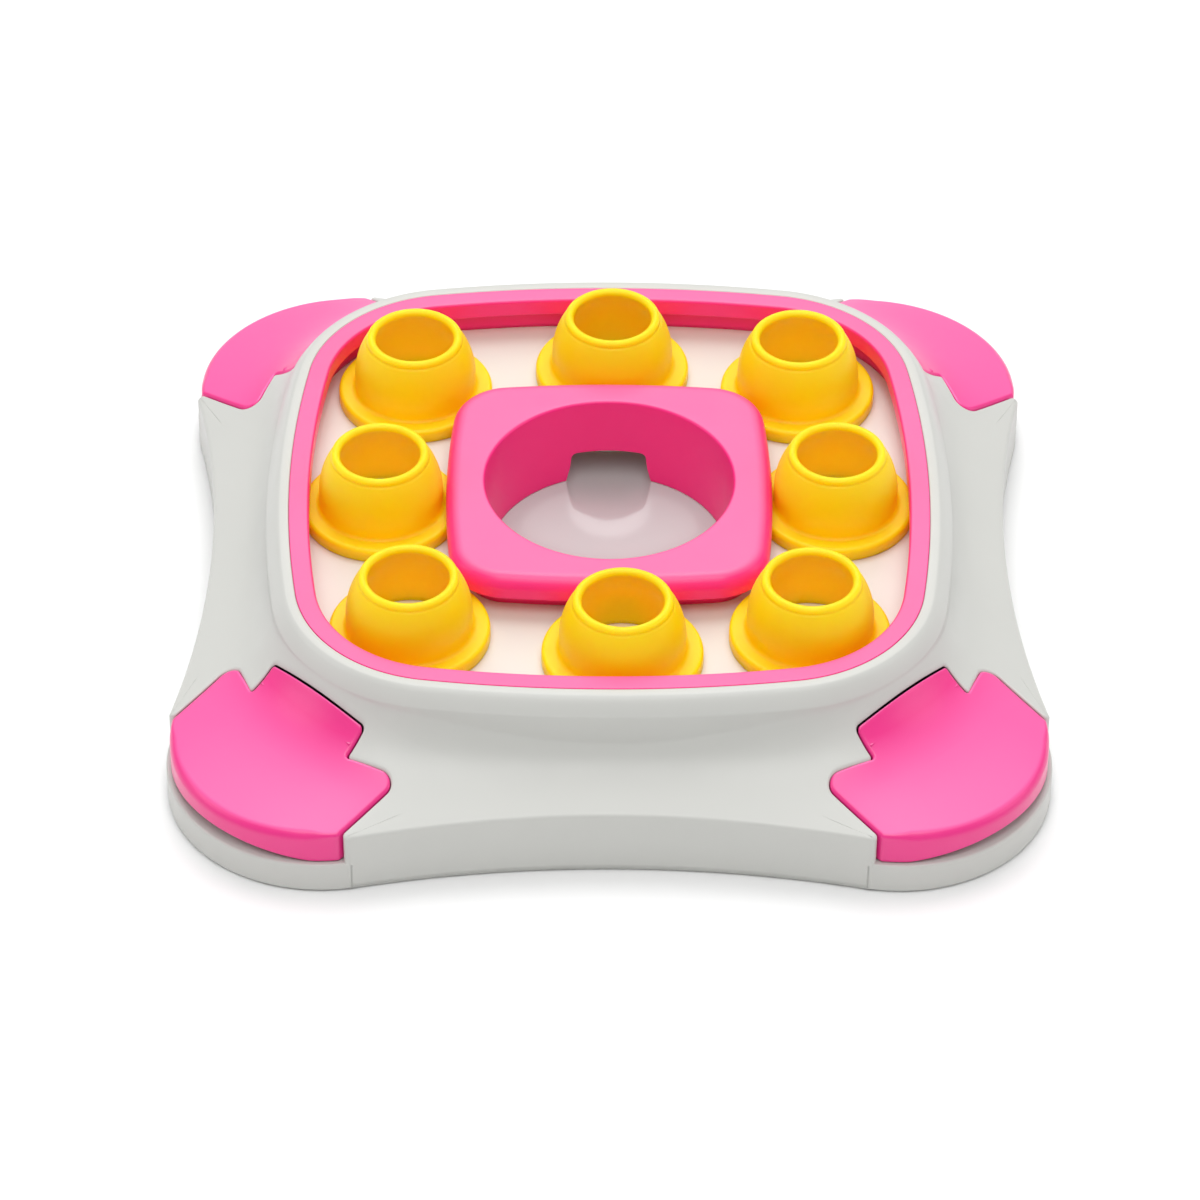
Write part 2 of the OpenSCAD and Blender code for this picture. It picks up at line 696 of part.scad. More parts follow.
body_shell();
base_plate();
feet();
base_screws();
track_floor();
rim_trim();
centre_block();
block_screws();
bowl_dish();
treat_chute();
hinge_pins();
mid_cup(0);  // cup_right
corner_cup(0);  // cup_right_rear
mid_cup(1);  // cup_rear
corner_cup(1);  // cup_left_rear
mid_cup(2);  // cup_left
corner_cup(2);  // cup_left_front
mid_cup(3);  // cup_front
corner_cup(3);  // cup_right_front
lid(0);  // lid_right_rear
lid(1);  // lid_left_rear
lid(2);  // lid_left_front
lid(3);  // lid_right_front
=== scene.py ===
"""Dog puzzle feeder: smooth mouldings, plastics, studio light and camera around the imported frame.

The shell, rim, block, dish, chute, cups and lids are grids of points worked out with numpy, in millimetres,
and put into their meshes in metres. The other pieces are the frame's own, with the materials from here.
The frame of reference is the part's own: Z up, the table at zero, the front towards -Y.
"""
import math

import bpy
import numpy as np
from mathutils import Matrix, Vector


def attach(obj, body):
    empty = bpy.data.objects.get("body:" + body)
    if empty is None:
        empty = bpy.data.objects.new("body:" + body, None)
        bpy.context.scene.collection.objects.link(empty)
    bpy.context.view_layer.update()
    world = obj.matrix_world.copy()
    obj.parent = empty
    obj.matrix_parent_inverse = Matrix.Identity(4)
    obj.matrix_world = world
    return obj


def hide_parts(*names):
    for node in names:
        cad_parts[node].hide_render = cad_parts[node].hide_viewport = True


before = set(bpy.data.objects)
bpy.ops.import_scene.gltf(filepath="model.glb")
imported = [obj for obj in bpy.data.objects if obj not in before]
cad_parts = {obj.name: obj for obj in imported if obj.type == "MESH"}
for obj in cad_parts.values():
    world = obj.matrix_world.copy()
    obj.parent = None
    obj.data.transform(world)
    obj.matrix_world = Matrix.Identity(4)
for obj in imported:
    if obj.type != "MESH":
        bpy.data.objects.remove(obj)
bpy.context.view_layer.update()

MM, WELD = 0.001, 0.004
ROOT2 = math.sqrt(2)

# Sizes of the mouldings in millimetres.
OVERALL, CORNER_R, SIDE_INSET = 273.6, 48.8, 9.8
WALL, RIM_H, EDGE_H, SHELL_LOW, PLATE_TOP = 2.4, 11.0, 22.5, 0.8, 3.0
DECK_FALL, SWEEP_H, SWEEP_S = 8.0, 4.5, 0.16
CORNER_DIP, CORNER_FALL, CORNER_SWEEP = 1.8, 4.3, 7.6
RING_W, RING_H, RING_ROUND_W, RING_ROUND_H, BOW, BEND = 7.25, 51.0, 4.4, 5.5, 290.0, 50.0
FLOOR_H, FLOOR_T, TRACK_HALF, TRACK_PLAY, LIP_Z = 37.0, 2.4, 72.5, 1.7, 45.0
RIM_LIP, RIM_WALL, FIT_GAP = 4.3, 2.0, 0.05
CUP_R, FLANGE_T, DOME_R, DOME_STRAIGHT, DOME_CURVE, DOME_FILLET = 25.0, 4.7, 19.6, 10.0, 23.8, 1.4
GROOVE_H, HOLE_R, LIP_D, CUP_T, CUP_GAP = 22.8, 12.65, 2.9, 2.4, 0.1
BLOCK_H, BLOCK_LIP, BLOCK_CORNER, BLOCK_ROUND, BLOCK_LIP_Z = 51.3, 5.9, 18.0, 5.0, 43.4
BOWL_TOP_R, BOWL_LOW_R, BOWL_LOW_H = 39.4, 37.5, 22.0
NOTCH_UP, NOTCH_TOP_W, NOTCH_LOW_W = 10.0, 11.75, 13.8
DISH_DEEP, DISH_T, DISH_FLANGE = 8.4, 2.2, 5.6
CHUTE_SLOPE, CHUTE_DROP, CHUTE_W, CHUTE_T, CHUTE_PAST = 8.2, 4.4, 15.3, 1.4, 15.0
CHUTE_R, CHUTE_CORNER, CHUTE_WALL_RISE, CHUTE_FROM = 46.4, 5.0, 12, 38.8
DISH_RUNS_TO, DISH_CREASE = 52, 0.35
LID_HALF, TONGUE_HALF, TONGUE_FLARE, TONGUE_GAP, LID_NOTCH = 37.5, 20.2, 1.0, 2.2, 6.4
LID_GAP, LID_T, LID_EDGE, LID_BACK, NOSE_GAP, NOSE_IN, LID_LOW = 0.5, 2.4, 4.5, 1.5, 3.2, 6.0, 11.3
TONGUE_ARC_R, NOTCH_DEEPER, EAR_BACK = 120.0, 0.3, 0.5
# rounds of the edges; a lid's grows by FRONT_ROUND_MORE along its front
SHELL_ROUND, MOUTH_ROUND, LID_ROUND, FRONT_ROUND_MORE = 0.9, 1.1, 1.1, 1.3
# distances along the diagonal of the line that a lid's top is drawn from, and of where its skirt gets deep
LID_SPINE_D, LID_SPINE_SHARE, LID_SKIRT_D = 146.0, 0.62, 148.6
HINGE_BACK, HINGE_Z, PIN_R, PIN_GAP, PIN_LEN = 1.6, 29.2265, 1.0, 0.05, 9.8
BOSS_WALL, BOSS_LEN, LUG_MORE = 0.9, 3.1, 0.7

# Places that follow from the sizes.
CORNER_C = OVERALL / 2 - CORNER_R
CORNER_D = CORNER_C * ROOT2
MID_HALF = OVERALL / 2 - SIDE_INSET
CORNER_OUT = MID_HALF - CORNER_C
SIDE_ARC_R = (CORNER_OUT**2 + CORNER_C**2 - CORNER_R**2) / (2 * (CORNER_R - CORNER_OUT))
SIDE_C = MID_HALF + SIDE_ARC_R
SIDE_REACH = CORNER_C * SIDE_ARC_R / (SIDE_ARC_R + CORNER_R)
SIDE_A = math.atan2(SIDE_REACH, SIDE_C - math.sqrt(SIDE_ARC_R**2 - SIDE_REACH**2))
BEND_K = math.hypot(BEND + BOW, BEND) - BOW
RIM_IN = TRACK_HALF + CUP_R + TRACK_PLAY
RIM_HALF = RIM_IN + RIM_WALL
LIP_HALF = RIM_IN - RIM_LIP
RING_IN = RIM_HALF + FIT_GAP
RING_HALF = RING_IN + RING_W
RING_D = BEND * ROOT2 + RING_HALF - BEND_K
BLOCK_IN = TRACK_HALF - CUP_R - TRACK_PLAY
BLOCK_HALF = BLOCK_IN + BLOCK_LIP
BLOCK_C = (math.sqrt(2 * (BLOCK_HALF + BOW - BLOCK_CORNER) ** 2 - BOW**2) - BOW) / 2
CHUTE_LOW_AT = BOWL_LOW_R + WALL
TONGUE_D = RING_D + TONGUE_GAP
NOTCH_D = TONGUE_D + LID_NOTCH
EAR_D = TONGUE_D - EAR_BACK
LID_R = CORNER_R - LID_BACK
HINGE_D = TONGUE_D + HINGE_BACK
CHUTE_HALF = CHUTE_W - CHUTE_T
BRIM_Z = FLOOR_H - FLOOR_T - 0.2
# the room over a tongue's swing: the shell's inner wall and the skin behind the ring's foot end higher there,
# as far as ROOM_OFF degrees from the diagonal, fading out over ROOM_FADE degrees
ROOM_Z, ROOM_FOOT_Z, PLAIN_FOOT_Z, ROOM_OFF, ROOM_FADE = 38.3, 41.8, 33.0, 10.8, 1.6
CUPS = {
    "cup_right": (71.9, 0.8),
    "cup_right_rear": (61.63, 60.2),
    "cup_rear": (1.2, 71.7),
    "cup_left_rear": (-62.99, 60.35),
    "cup_left": (-72.4, -0.2),
    "cup_left_front": (-61.87, -60.81),
    "cup_front": (3.9, -71.7),
    "cup_right_front": (61.89, -61.79),
}
LIDS = ["lid_right_rear", "lid_left_rear", "lid_left_front", "lid_right_front"]


# ---------------------------------------------------------------- lines in plan
def folded(a):
    """A polar angle folded into the eighth next to the middle of a side, in radians."""
    return np.abs((a + np.pi / 4) % (np.pi / 2) - np.pi / 4)


def ring_radius(u, a, c=BEND):
    """Distance from the middle to the line of half width u, at the polar angle a in radians: a side arc of
    radius u + BOW struck from beyond the middle, or a corner arc about (c, c) that meets it without a kink."""
    f = folded(a)
    k = math.hypot(c + BOW, c) - BOW
    side = -BOW * np.cos(f) + np.sqrt((u + BOW) ** 2 - (BOW * np.sin(f)) ** 2)
    g = np.pi / 4 - f
    inside = np.maximum(np.maximum(u - k, 0.01) ** 2 - (c * ROOT2 * np.sin(g)) ** 2, 0)
    corner = c * ROOT2 * np.cos(g) + np.sqrt(inside)
    on_side = np.arctan2(side * np.sin(f), side * np.cos(f) + BOW) <= math.atan2(c, c + BOW)
    return np.where(on_side, side, corner)


def edge_radius(a):
    """Distance from the middle to the base's outline: a side's hollow arc up to the angle SIDE_A from the
    side's middle, and from there the circle of a corner, which it meets without a kink."""
    f = folded(a)
    side = SIDE_C * np.cos(f) - np.sqrt(np.maximum(SIDE_ARC_R**2 - (SIDE_C * np.sin(f)) ** 2, 0))
    g = np.pi / 4 - f
    inside = np.maximum(CORNER_R**2 - (CORNER_D * np.sin(g)) ** 2, 0)
    corner = CORNER_D * np.cos(g) + np.sqrt(inside)
    return np.where(f < SIDE_A, side, corner)


def deck_height(x, y):
    """Height of the deck over a point in plan: a straight fall from the ring to the outline, and a sweep
    up to the ring that dies away exponentially with the share s of the way out. All three change towards
    the corners with the square of the sine of twice the polar angle."""
    a = np.arctan2(y, x)
    low, high = ring_radius(RING_HALF, a), edge_radius(a)
    s = (np.hypot(x, y) - low) / (high - low)
    k = np.sin(2 * a) ** 2
    fall, sweep = DECK_FALL + CORNER_FALL * k, SWEEP_H + CORNER_SWEEP * k
    return EDGE_H - CORNER_DIP * k + fall * (1 - s) + sweep * np.exp(-s / SWEEP_S)


def turned(points, angle):
    """Points, with X and Y first, turned about the Z axis."""
    c, s = math.cos(angle), math.sin(angle)
    out = np.array(points, float)
    x, y = points[..., 0], points[..., 1]
    out[..., 0], out[..., 1] = c * x - s * y, s * x + c * y
    return out


def straight(a, b, n):
    """n points on the line from a to b."""
    t = np.linspace(0, 1, n)[:, None]
    return (1 - t) * np.array(a, float) + t * np.array(b, float)


def arc(centre, radius, a0, a1, n):
    """n points on a circle between two angles in radians."""
    a = np.linspace(a0, a1, n)
    return np.stack([centre[0] + radius * np.cos(a), centre[1] + radius * np.sin(a)], 1)


def rounded(edges, radii, steps=9):
    """One line from edges that meet end to end, with a circular round of the given radius at each meeting:
    both edges are cut back by radius * tan(half the turn) and an arc joins the cuts. Also gives, for each
    point, the number of the edge it belongs to, with halves on the rounds."""
    edges = [np.array(e, float) for e in edges]
    start_cut, end_cut, arcs = [0.0] * len(edges), [0.0] * len(edges), []
    for i, r in enumerate(radii):
        p = edges[i][-1]
        d0, d1 = p - edges[i][-2], edges[i + 1][1] - edges[i + 1][0]
        d0, d1 = d0 / np.hypot(*d0), d1 / np.hypot(*d1)
        turn = math.atan2(d0[0] * d1[1] - d0[1] * d1[0], d0 @ d1)
        back = r * math.tan(abs(turn) / 2)
        end_cut[i], start_cut[i + 1] = back, back
        side = math.copysign(1, turn) * np.array([-d0[1], d0[0]])
        centre = p - d0 * back + side * r
        w = np.linspace(0, abs(turn), steps + 2)[1:-1, None]
        arcs.append(centre - side * r * np.cos(w) + d0 * r * np.sin(w))
    line, tags = [], []
    for i, e in enumerate(edges):
        run = np.concatenate([[0], np.cumsum(np.hypot(*np.diff(e, axis=0).T))])
        s = np.linspace(start_cut[i], run[-1] - end_cut[i], len(e))
        line.append(np.stack([np.interp(s, run, e[:, 0]), np.interp(s, run, e[:, 1])], 1))
        tags.append(np.full(len(e), float(i)))
        if i < len(arcs):
            line.append(arcs[i])
            tags.append(np.full(len(arcs[i]), i + 0.5))
    return np.concatenate(line), np.concatenate(tags)


def normals_of(line):
    """Unit normals on the left of a closed line in plan, from the chord between each point's neighbours."""
    d = np.roll(line, -1, 0) - np.roll(line, 1, 0)
    d /= np.maximum(np.hypot(d[:, 0], d[:, 1]), 1e-9)[:, None]
    return np.stack([-d[:, 1], d[:, 0]], 1)


def smooth_step(x):
    """Zero below 0, one above 1, and 3x^2 - 2x^3 between."""
    x = np.clip(x, 0, 1)
    return x * x * (3 - 2 * x)


# ---------------------------------------------------------------- meshes
def grid_quads(rows, cols, around, along):
    """Corners of the quads between neighbours in a grid; around closes the columns and along the rows."""
    index = np.arange(rows * cols).reshape(rows, cols)
    if around:
        index = np.concatenate([index, index[:, :1]], 1)
    if along:
        index = np.concatenate([index, index[:1]], 0)
    return np.stack([index[:-1, :-1], index[:-1, 1:], index[1:, 1:], index[1:, :-1]], -1).reshape(-1, 4)


def outwards(points, quads):
    """The quads, turned over if the volume they enclose comes out negative."""
    a, b, c, d = (points[quads[:, k]] for k in range(4))
    volume = np.einsum("ij,ij->i", a, np.cross(b, c)).sum() + np.einsum("ij,ij->i", a, np.cross(c, d)).sum()
    return quads[:, ::-1] if volume < 0 else quads


def grid_object(name, grid, around, along, material, body, stands_for):
    """A mesh of quads over a grid of points in millimetres, [row, column, xyz]. around closes the columns
    on themselves and along the rows. Points that coincide are welded and all faces turned outwards."""
    quads = grid_quads(*grid.shape[:2], around, along)
    mesh_object(name, grid.reshape(-1, 3), quads, material, body, stands_for)


def several_grids(parts):
    """Points and quads of several grids in one mesh: (grid, columns closed, rows closed)."""
    points, quads, base = [], [], 0
    for grid, around, along in parts:
        p = grid.reshape(-1, 3)
        quads.append(outwards(p, grid_quads(*grid.shape[:2], around, along)) + base)
        points.append(p)
        base += len(p)
    return np.concatenate(points), np.concatenate(quads)


def mesh_object(name, points, quads, material, body, stands_for):
    """Points that round to the same multiple of WELD become one, and quads that lose a corner by that
    become triangles."""
    key = np.round(points / WELD).astype(np.int64)
    _, first, back = np.unique(key, axis=0, return_index=True, return_inverse=True)
    points = points[first]
    quads = outwards(points, back.reshape(-1)[quads])
    keep = quads != np.roll(quads, -1, 1)
    counts = keep.sum(1)
    good = counts >= 3
    keep, quads, counts = keep[good], quads[good], counts[good]
    loops = quads[keep]
    starts = np.concatenate([[0], np.cumsum(counts)[:-1]])
    mesh = bpy.data.meshes.new(name)
    mesh.vertices.add(len(points))
    mesh.vertices.foreach_set("co", (points * MM).astype(np.float32).ravel())
    mesh.loops.add(len(loops))
    mesh.loops.foreach_set("vertex_index", loops.astype(np.int32))
    mesh.polygons.add(len(starts))
    mesh.polygons.foreach_set("loop_start", starts.astype(np.int32))
    mesh.polygons.foreach_set("use_smooth", np.ones(len(starts), bool))
    mesh.update(calc_edges=True)
    mesh.validate()
    mesh.materials.append(material)
    piece = bpy.data.objects.new(name, mesh)
    bpy.context.scene.collection.objects.link(piece)
    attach(piece, body)
    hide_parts(*stands_for)


def rounding(r, n):
    """How far a rounded edge has come in from the wall and how far it has dropped, at n places on it."""
    w = np.linspace(0, np.pi / 2, n)
    return r * (1 - np.sin(w)), r * (1 - np.cos(w))


def fillets(profile, radii, n=6):
    """A closed section with each corner rounded by its own radius; a radius of zero keeps the corner."""
    p = np.array(profile, float)
    out = []
    for i, r in enumerate(radii):
        a, b, c = p[i - 1], p[i], p[(i + 1) % len(p)]
        u, v = (a - b) / np.hypot(*(a - b)), (c - b) / np.hypot(*(c - b))
        if r == 0:
            out.append(b[None])
            continue
        half = math.acos(np.clip(u @ v, -1, 1)) / 2
        back = min(r / math.tan(half), 0.49 * np.hypot(*(a - b)), 0.49 * np.hypot(*(c - b)))
        r = back * math.tan(half)
        centre = b + (u + v) / np.hypot(*(u + v)) * (r / math.sin(half))
        s, e = b + u * back - centre, b + v * back - centre
        a0 = math.atan2(s[1], s[0])
        da = (math.atan2(e[1], e[0]) - a0 + np.pi) % (2 * np.pi) - np.pi
        w = a0 + da * np.linspace(0, 1, n)
        out.append(centre + r * np.stack([np.cos(w), np.sin(w)], 1))
    return np.concatenate(out)


def finer(profile, step):
    """A closed section with extra points on its long straights, none longer than step."""
    p = np.array(profile, float)
    out = []
    for a, b in zip(p, np.roll(p, -1, 0)):
        n = max(1, int(math.ceil(np.hypot(*(b - a)) / step)))
        t = np.arange(n)[:, None] / n
        out.append(a + (b - a) * t)
    return np.concatenate(out)


def turned_section(p, count, centre):
    """A closed section of radius and height, turned about an upright axis: [section point, angle, xyz]."""
    a = np.linspace(0, 2 * np.pi, count, endpoint=False)
    return np.stack([centre[0] + p[:, :1] * np.cos(a), centre[1] + p[:, :1] * np.sin(a),
                     np.repeat(p[:, 1:2], count, 1)], -1)


# ---------------------------------------------------------------- shader helpers
def rgb(r, g, b):
    return (r, g, b, 1.0)


def effect_group(name, inputs, outputs):
    """A shader node group with named sockets: (name, kind, default)."""
    group = bpy.data.node_groups.new(name, "ShaderNodeTree")
    for label, kind, default in inputs:
        s = group.interface.new_socket(name=label, in_out="INPUT", socket_type=kind)
        s.default_value = default
    for label, kind in outputs:
        group.interface.new_socket(name=label, in_out="OUTPUT", socket_type=kind)
    return group, group.nodes.new("NodeGroupInput"), group.nodes.new("NodeGroupOutput")


def moulded_skin():
    """Moulded plastic: slow uneven flow of the pigment, a painted sheen on faces that look up, which stands in
    for the sheen of a large light overhead, a fine spark-eroded grain, and dust in the hollows."""
    g, i, o = effect_group("Moulded skin", [
        ("Colour", "NodeSocketColor", rgb(0.8, 0.8, 0.8)),
        ("Deep colour", "NodeSocketColor", rgb(0.6, 0.6, 0.6)),
        ("Painted sheen colour", "NodeSocketColor", rgb(0.9, 0.9, 0.9)),
        ("Painted sheen", "NodeSocketFloat", 0.0),
        ("Dust colour", "NodeSocketColor", rgb(0.6, 0.58, 0.55)),
        ("Roughness", "NodeSocketFloat", 0.4),
        ("Flow", "NodeSocketFloat", 0.3),
        ("Dust", "NodeSocketFloat", 0.1),
        ("Grain height", "NodeSocketFloat", 0.05),
    ], [("Colour", "NodeSocketColor"), ("Roughness", "NodeSocketFloat"), ("Normal", "NodeSocketVector")])
    n, l = g.nodes, g.links
    where = n.new("ShaderNodeTexCoord")

    def noise(scale, detail, rough=0.5):
        t = n.new("ShaderNodeTexNoise")
        t.inputs["Scale"].default_value = scale
        t.inputs["Detail"].default_value = detail
        t.inputs["Roughness"].default_value = rough
        l.new(where.outputs["Object"], t.inputs["Vector"])
        return t

    def math_node(op, a, b):
        m = n.new("ShaderNodeMath")
        m.operation = op
        for socket, value in zip(m.inputs, (a, b)):
            if isinstance(value, (int, float)):
                socket.default_value = value
            else:
                l.new(value, socket)
        return m.outputs[0]

    def mix(fac, a, b):
        m = n.new("ShaderNodeMix")
        m.data_type = "RGBA"
        l.new(fac, m.inputs["Factor"])
        l.new(a, m.inputs["A"])
        l.new(b, m.inputs["B"])
        return m.outputs["Result"]

    def ranged(value, low, high, out_low, out_high):
        m = n.new("ShaderNodeMapRange")
        m.inputs["From Min"].default_value = low
        m.inputs["From Max"].default_value = high
        m.inputs["To Min"].default_value = out_low
        m.inputs["To Max"].default_value = out_high
        l.new(value, m.inputs["Value"])
        return m.outputs["Result"]

    flow = noise(22.0, 3.0)
    cloud = noise(70.0, 4.0, 0.6)
    grain = noise(2600.0, 2.0)
    wave = noise(120.0, 2.0)
    shape = n.new("ShaderNodeNewGeometry")
    uneven = math_node("MULTIPLY", ranged(flow.outputs["Fac"], 0.35, 0.7, 0.0, 1.0), i.outputs["Flow"])
    tinted = mix(uneven, i.outputs["Colour"], i.outputs["Deep colour"])
    # painted sheen: faces that look up are mixed towards a paler colour, standing in for the sheen of a large
    # overhead light
    facing = n.new("ShaderNodeSeparateXYZ")
    l.new(shape.outputs["Normal"], facing.inputs[0])
    painted_sheen = math_node("MULTIPLY", ranged(facing.outputs["Z"], 0.76, 0.94, 0.0, 1.0), i.outputs["Painted sheen"])
    tinted = mix(painted_sheen, tinted, i.outputs["Painted sheen colour"])
    shut = ranged(shape.outputs["Pointiness"], 0.40, 0.485, 1.0, 0.0)
    patchy = ranged(cloud.outputs["Fac"], 0.4, 0.65, 0.3, 1.0)
    dusty = math_node("MULTIPLY", math_node("MULTIPLY", shut, patchy), i.outputs["Dust"])
    l.new(mix(dusty, tinted, i.outputs["Dust colour"]), o.inputs["Colour"])
    worn = math_node("MULTIPLY", ranged(cloud.outputs["Fac"], 0.3, 0.7, 0.88, 1.12), i.outputs["Roughness"])
    l.new(math_node("ADD", worn, math_node("MULTIPLY", dusty, 0.5)), o.inputs["Roughness"])
    fine = math_node("MULTIPLY", grain.outputs["Fac"], 0.35)
    broad = math_node("MULTIPLY", wave.outputs["Fac"], 0.5)
    height = math_node("ADD", fine, broad)
    bump = n.new("ShaderNodeBump")
    bump.inputs["Distance"].default_value = 0.0004
    l.new(i.outputs["Grain height"], bump.inputs["Strength"])
    l.new(height, bump.inputs["Height"])
    l.new(bump.outputs["Normal"], o.inputs["Normal"])
    return g


SKIN = moulded_skin()


def plastic(name, colour, deep, dust_colour, finish, painted_sheen=None, **surface):
    """A moulded plastic on the shared skin. finish holds its roughness, flow, dust and grain height, and
    surface sets sockets of the shader by name, with underscores for spaces."""
    m = bpy.data.materials.new(name)
    m.use_nodes = True
    n, l = m.node_tree.nodes, m.node_tree.links
    bsdf = n["Principled BSDF"]
    skin = n.new("ShaderNodeGroup")
    skin.node_tree = SKIN
    sockets = {"Colour": rgb(*colour), "Deep colour": rgb(*deep), "Dust colour": rgb(*dust_colour)}
    sockets.update(zip(("Roughness", "Flow", "Dust", "Grain height"), finish))
    # painted sheen: a paler colour mixed into faces that look up, standing in for the sheen of a large
    # overhead light
    if painted_sheen:
        sockets.update({"Painted sheen colour": rgb(*painted_sheen), "Painted sheen": 1.0})
    for label, value in sockets.items():
        skin.inputs[label].default_value = value
    for source, target in (("Colour", "Base Color"), ("Roughness", "Roughness"), ("Normal", "Normal")):
        l.new(skin.outputs[source], bsdf.inputs[target])
    for label, value in {"IOR": 1.48, "Coat_Roughness": 0.2, **surface}.items():
        bsdf.inputs[label.replace("_", " ")].default_value = value
    return m


GREY_DUST, PINK_DUST = (0.3, 0.28, 0.26), (0.6, 0.25, 0.35)
WHITE = plastic("white_moulding", (0.60, 0.602, 0.572), (0.58, 0.583, 0.555), (0.55, 0.53, 0.50),
                (0.38, 0.4, 0.10, 0.05))
GLOSS = plastic("gloss_white_moulding", (0.56, 0.585, 0.57), (0.54, 0.565, 0.55), (0.5, 0.48, 0.45),
                (0.12, 0.4, 0.10, 0.02))
FLOOR_WHITE = plastic("track_floor_moulding", (0.74, 0.75, 0.715), (0.72, 0.73, 0.695), (0.5, 0.46, 0.43),
                      (0.45, 0.4, 0.15, 0.05))
# each pink's second, paler colour is a painted sheen on faces that look up, standing in for the sheen of a
# large overhead light
PINK = plastic("pink_moulding", (0.95, 0.026, 0.245), (0.94, 0.023, 0.232), PINK_DUST,
               (0.34, 0.5, 0.10, 0.05), painted_sheen=(0.95, 0.120, 0.345))
# the lids' pink is a copy of the block's with its own base and sheen colours, set to match how light falls on
# the lids; the difference between the two pinks is painted light
LID_PINK = plastic("lid_moulding", (0.88, 0.026, 0.255), (0.87, 0.022, 0.24), PINK_DUST,
                   (0.34, 0.5, 0.10, 0.05), painted_sheen=(0.93, 0.105, 0.375),
                   Coat_Weight=0.4, Coat_Roughness=0.30)
# the faint emission stands in for light that passes through the cups' walls
YELLOW = plastic("yellow_moulding", (1.0, 0.66, 0.0), (1.0, 0.63, 0.0), (0.9, 0.50, 0.03),
                 (0.46, 0.5, 0.06, 0.06), IOR=1.40,
                 Subsurface_Weight=1.0, Subsurface_Radius=(1.0, 0.5, 0.03), Subsurface_Scale=0.008,
                 Emission_Color=rgb(1.0, 0.32, 0.0), Emission_Strength=0.07)
STEEL = plastic("zinc_plated_steel", (0.60, 0.60, 0.61), (0.52, 0.52, 0.54), GREY_DUST,
                (0.3, 0.6, 0.3, 0.1), Metallic=1.0)
RUBBER = plastic("grey_rubber", (0.10, 0.10, 0.105), (0.07, 0.07, 0.075), GREY_DUST, (0.75, 0.6, 0.5, 0.4))

for node, material in {
    "base_plate": WHITE, "track_floor": FLOOR_WHITE, "feet": RUBBER, "base_screws": STEEL,
    "block_screws": STEEL, "hinge_pins": STEEL,
}.items():
    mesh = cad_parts[node].data
    mesh.materials.clear()
    mesh.materials.append(material)


# ---------------------------------------------------------------- base shell
def half_cut_line():
    """Half of a corner's outer line in plan, on its diagonal: the tongue's arc, its side, the slanting
    ear edge, the lid's side and the base's hollow side, with the corners between them rounded."""
    g = LID_GAP
    half, flare = TONGUE_HALF + g, TONGUE_HALF + TONGUE_FLARE + g
    r = TONGUE_ARC_R - g
    tongue = arc((TONGUE_D - TONGUE_ARC_R, 0), r, 0, math.asin(half / r), 44)
    notch = (NOTCH_D + NOTCH_DEEPER, flare)
    ear = (EAR_D - g * 1.1, LID_HALF + g)
    # the lid's side meets the base's outline on the corner's circle
    meet = (CORNER_D + math.sqrt(CORNER_R**2 - (LID_HALF + g) ** 2), LID_HALF + g)
    w = np.linspace(math.atan2(meet[1], meet[0]), np.pi / 4, 110)
    reach = edge_radius(np.pi / 4 - w)
    side = np.stack([reach * np.cos(w), reach * np.sin(w)], 1)
    return rounded(
        [tongue, straight(tongue[-1], notch, 14), straight(notch, ear, 26), straight(ear, meet, 30), side],
        [1.5, 0.9, 4.3, 1.4], 13)


def shoulder_line():
    """The ring's shoulder in section: it drops by the power 1.5 of the way out, and ends in a small round
    that leads into the upright wall."""
    t = np.linspace(0, 1, 24)
    slope = np.stack([RING_HALF - RING_ROUND_W * (1 - t), RING_H - RING_ROUND_H * t**1.5], 1)
    line, _ = rounded([slope, straight(slope[-1], (RING_HALF, RING_H - RING_ROUND_H - 2), 3)], [1.6], 7)
    return line[:-2]


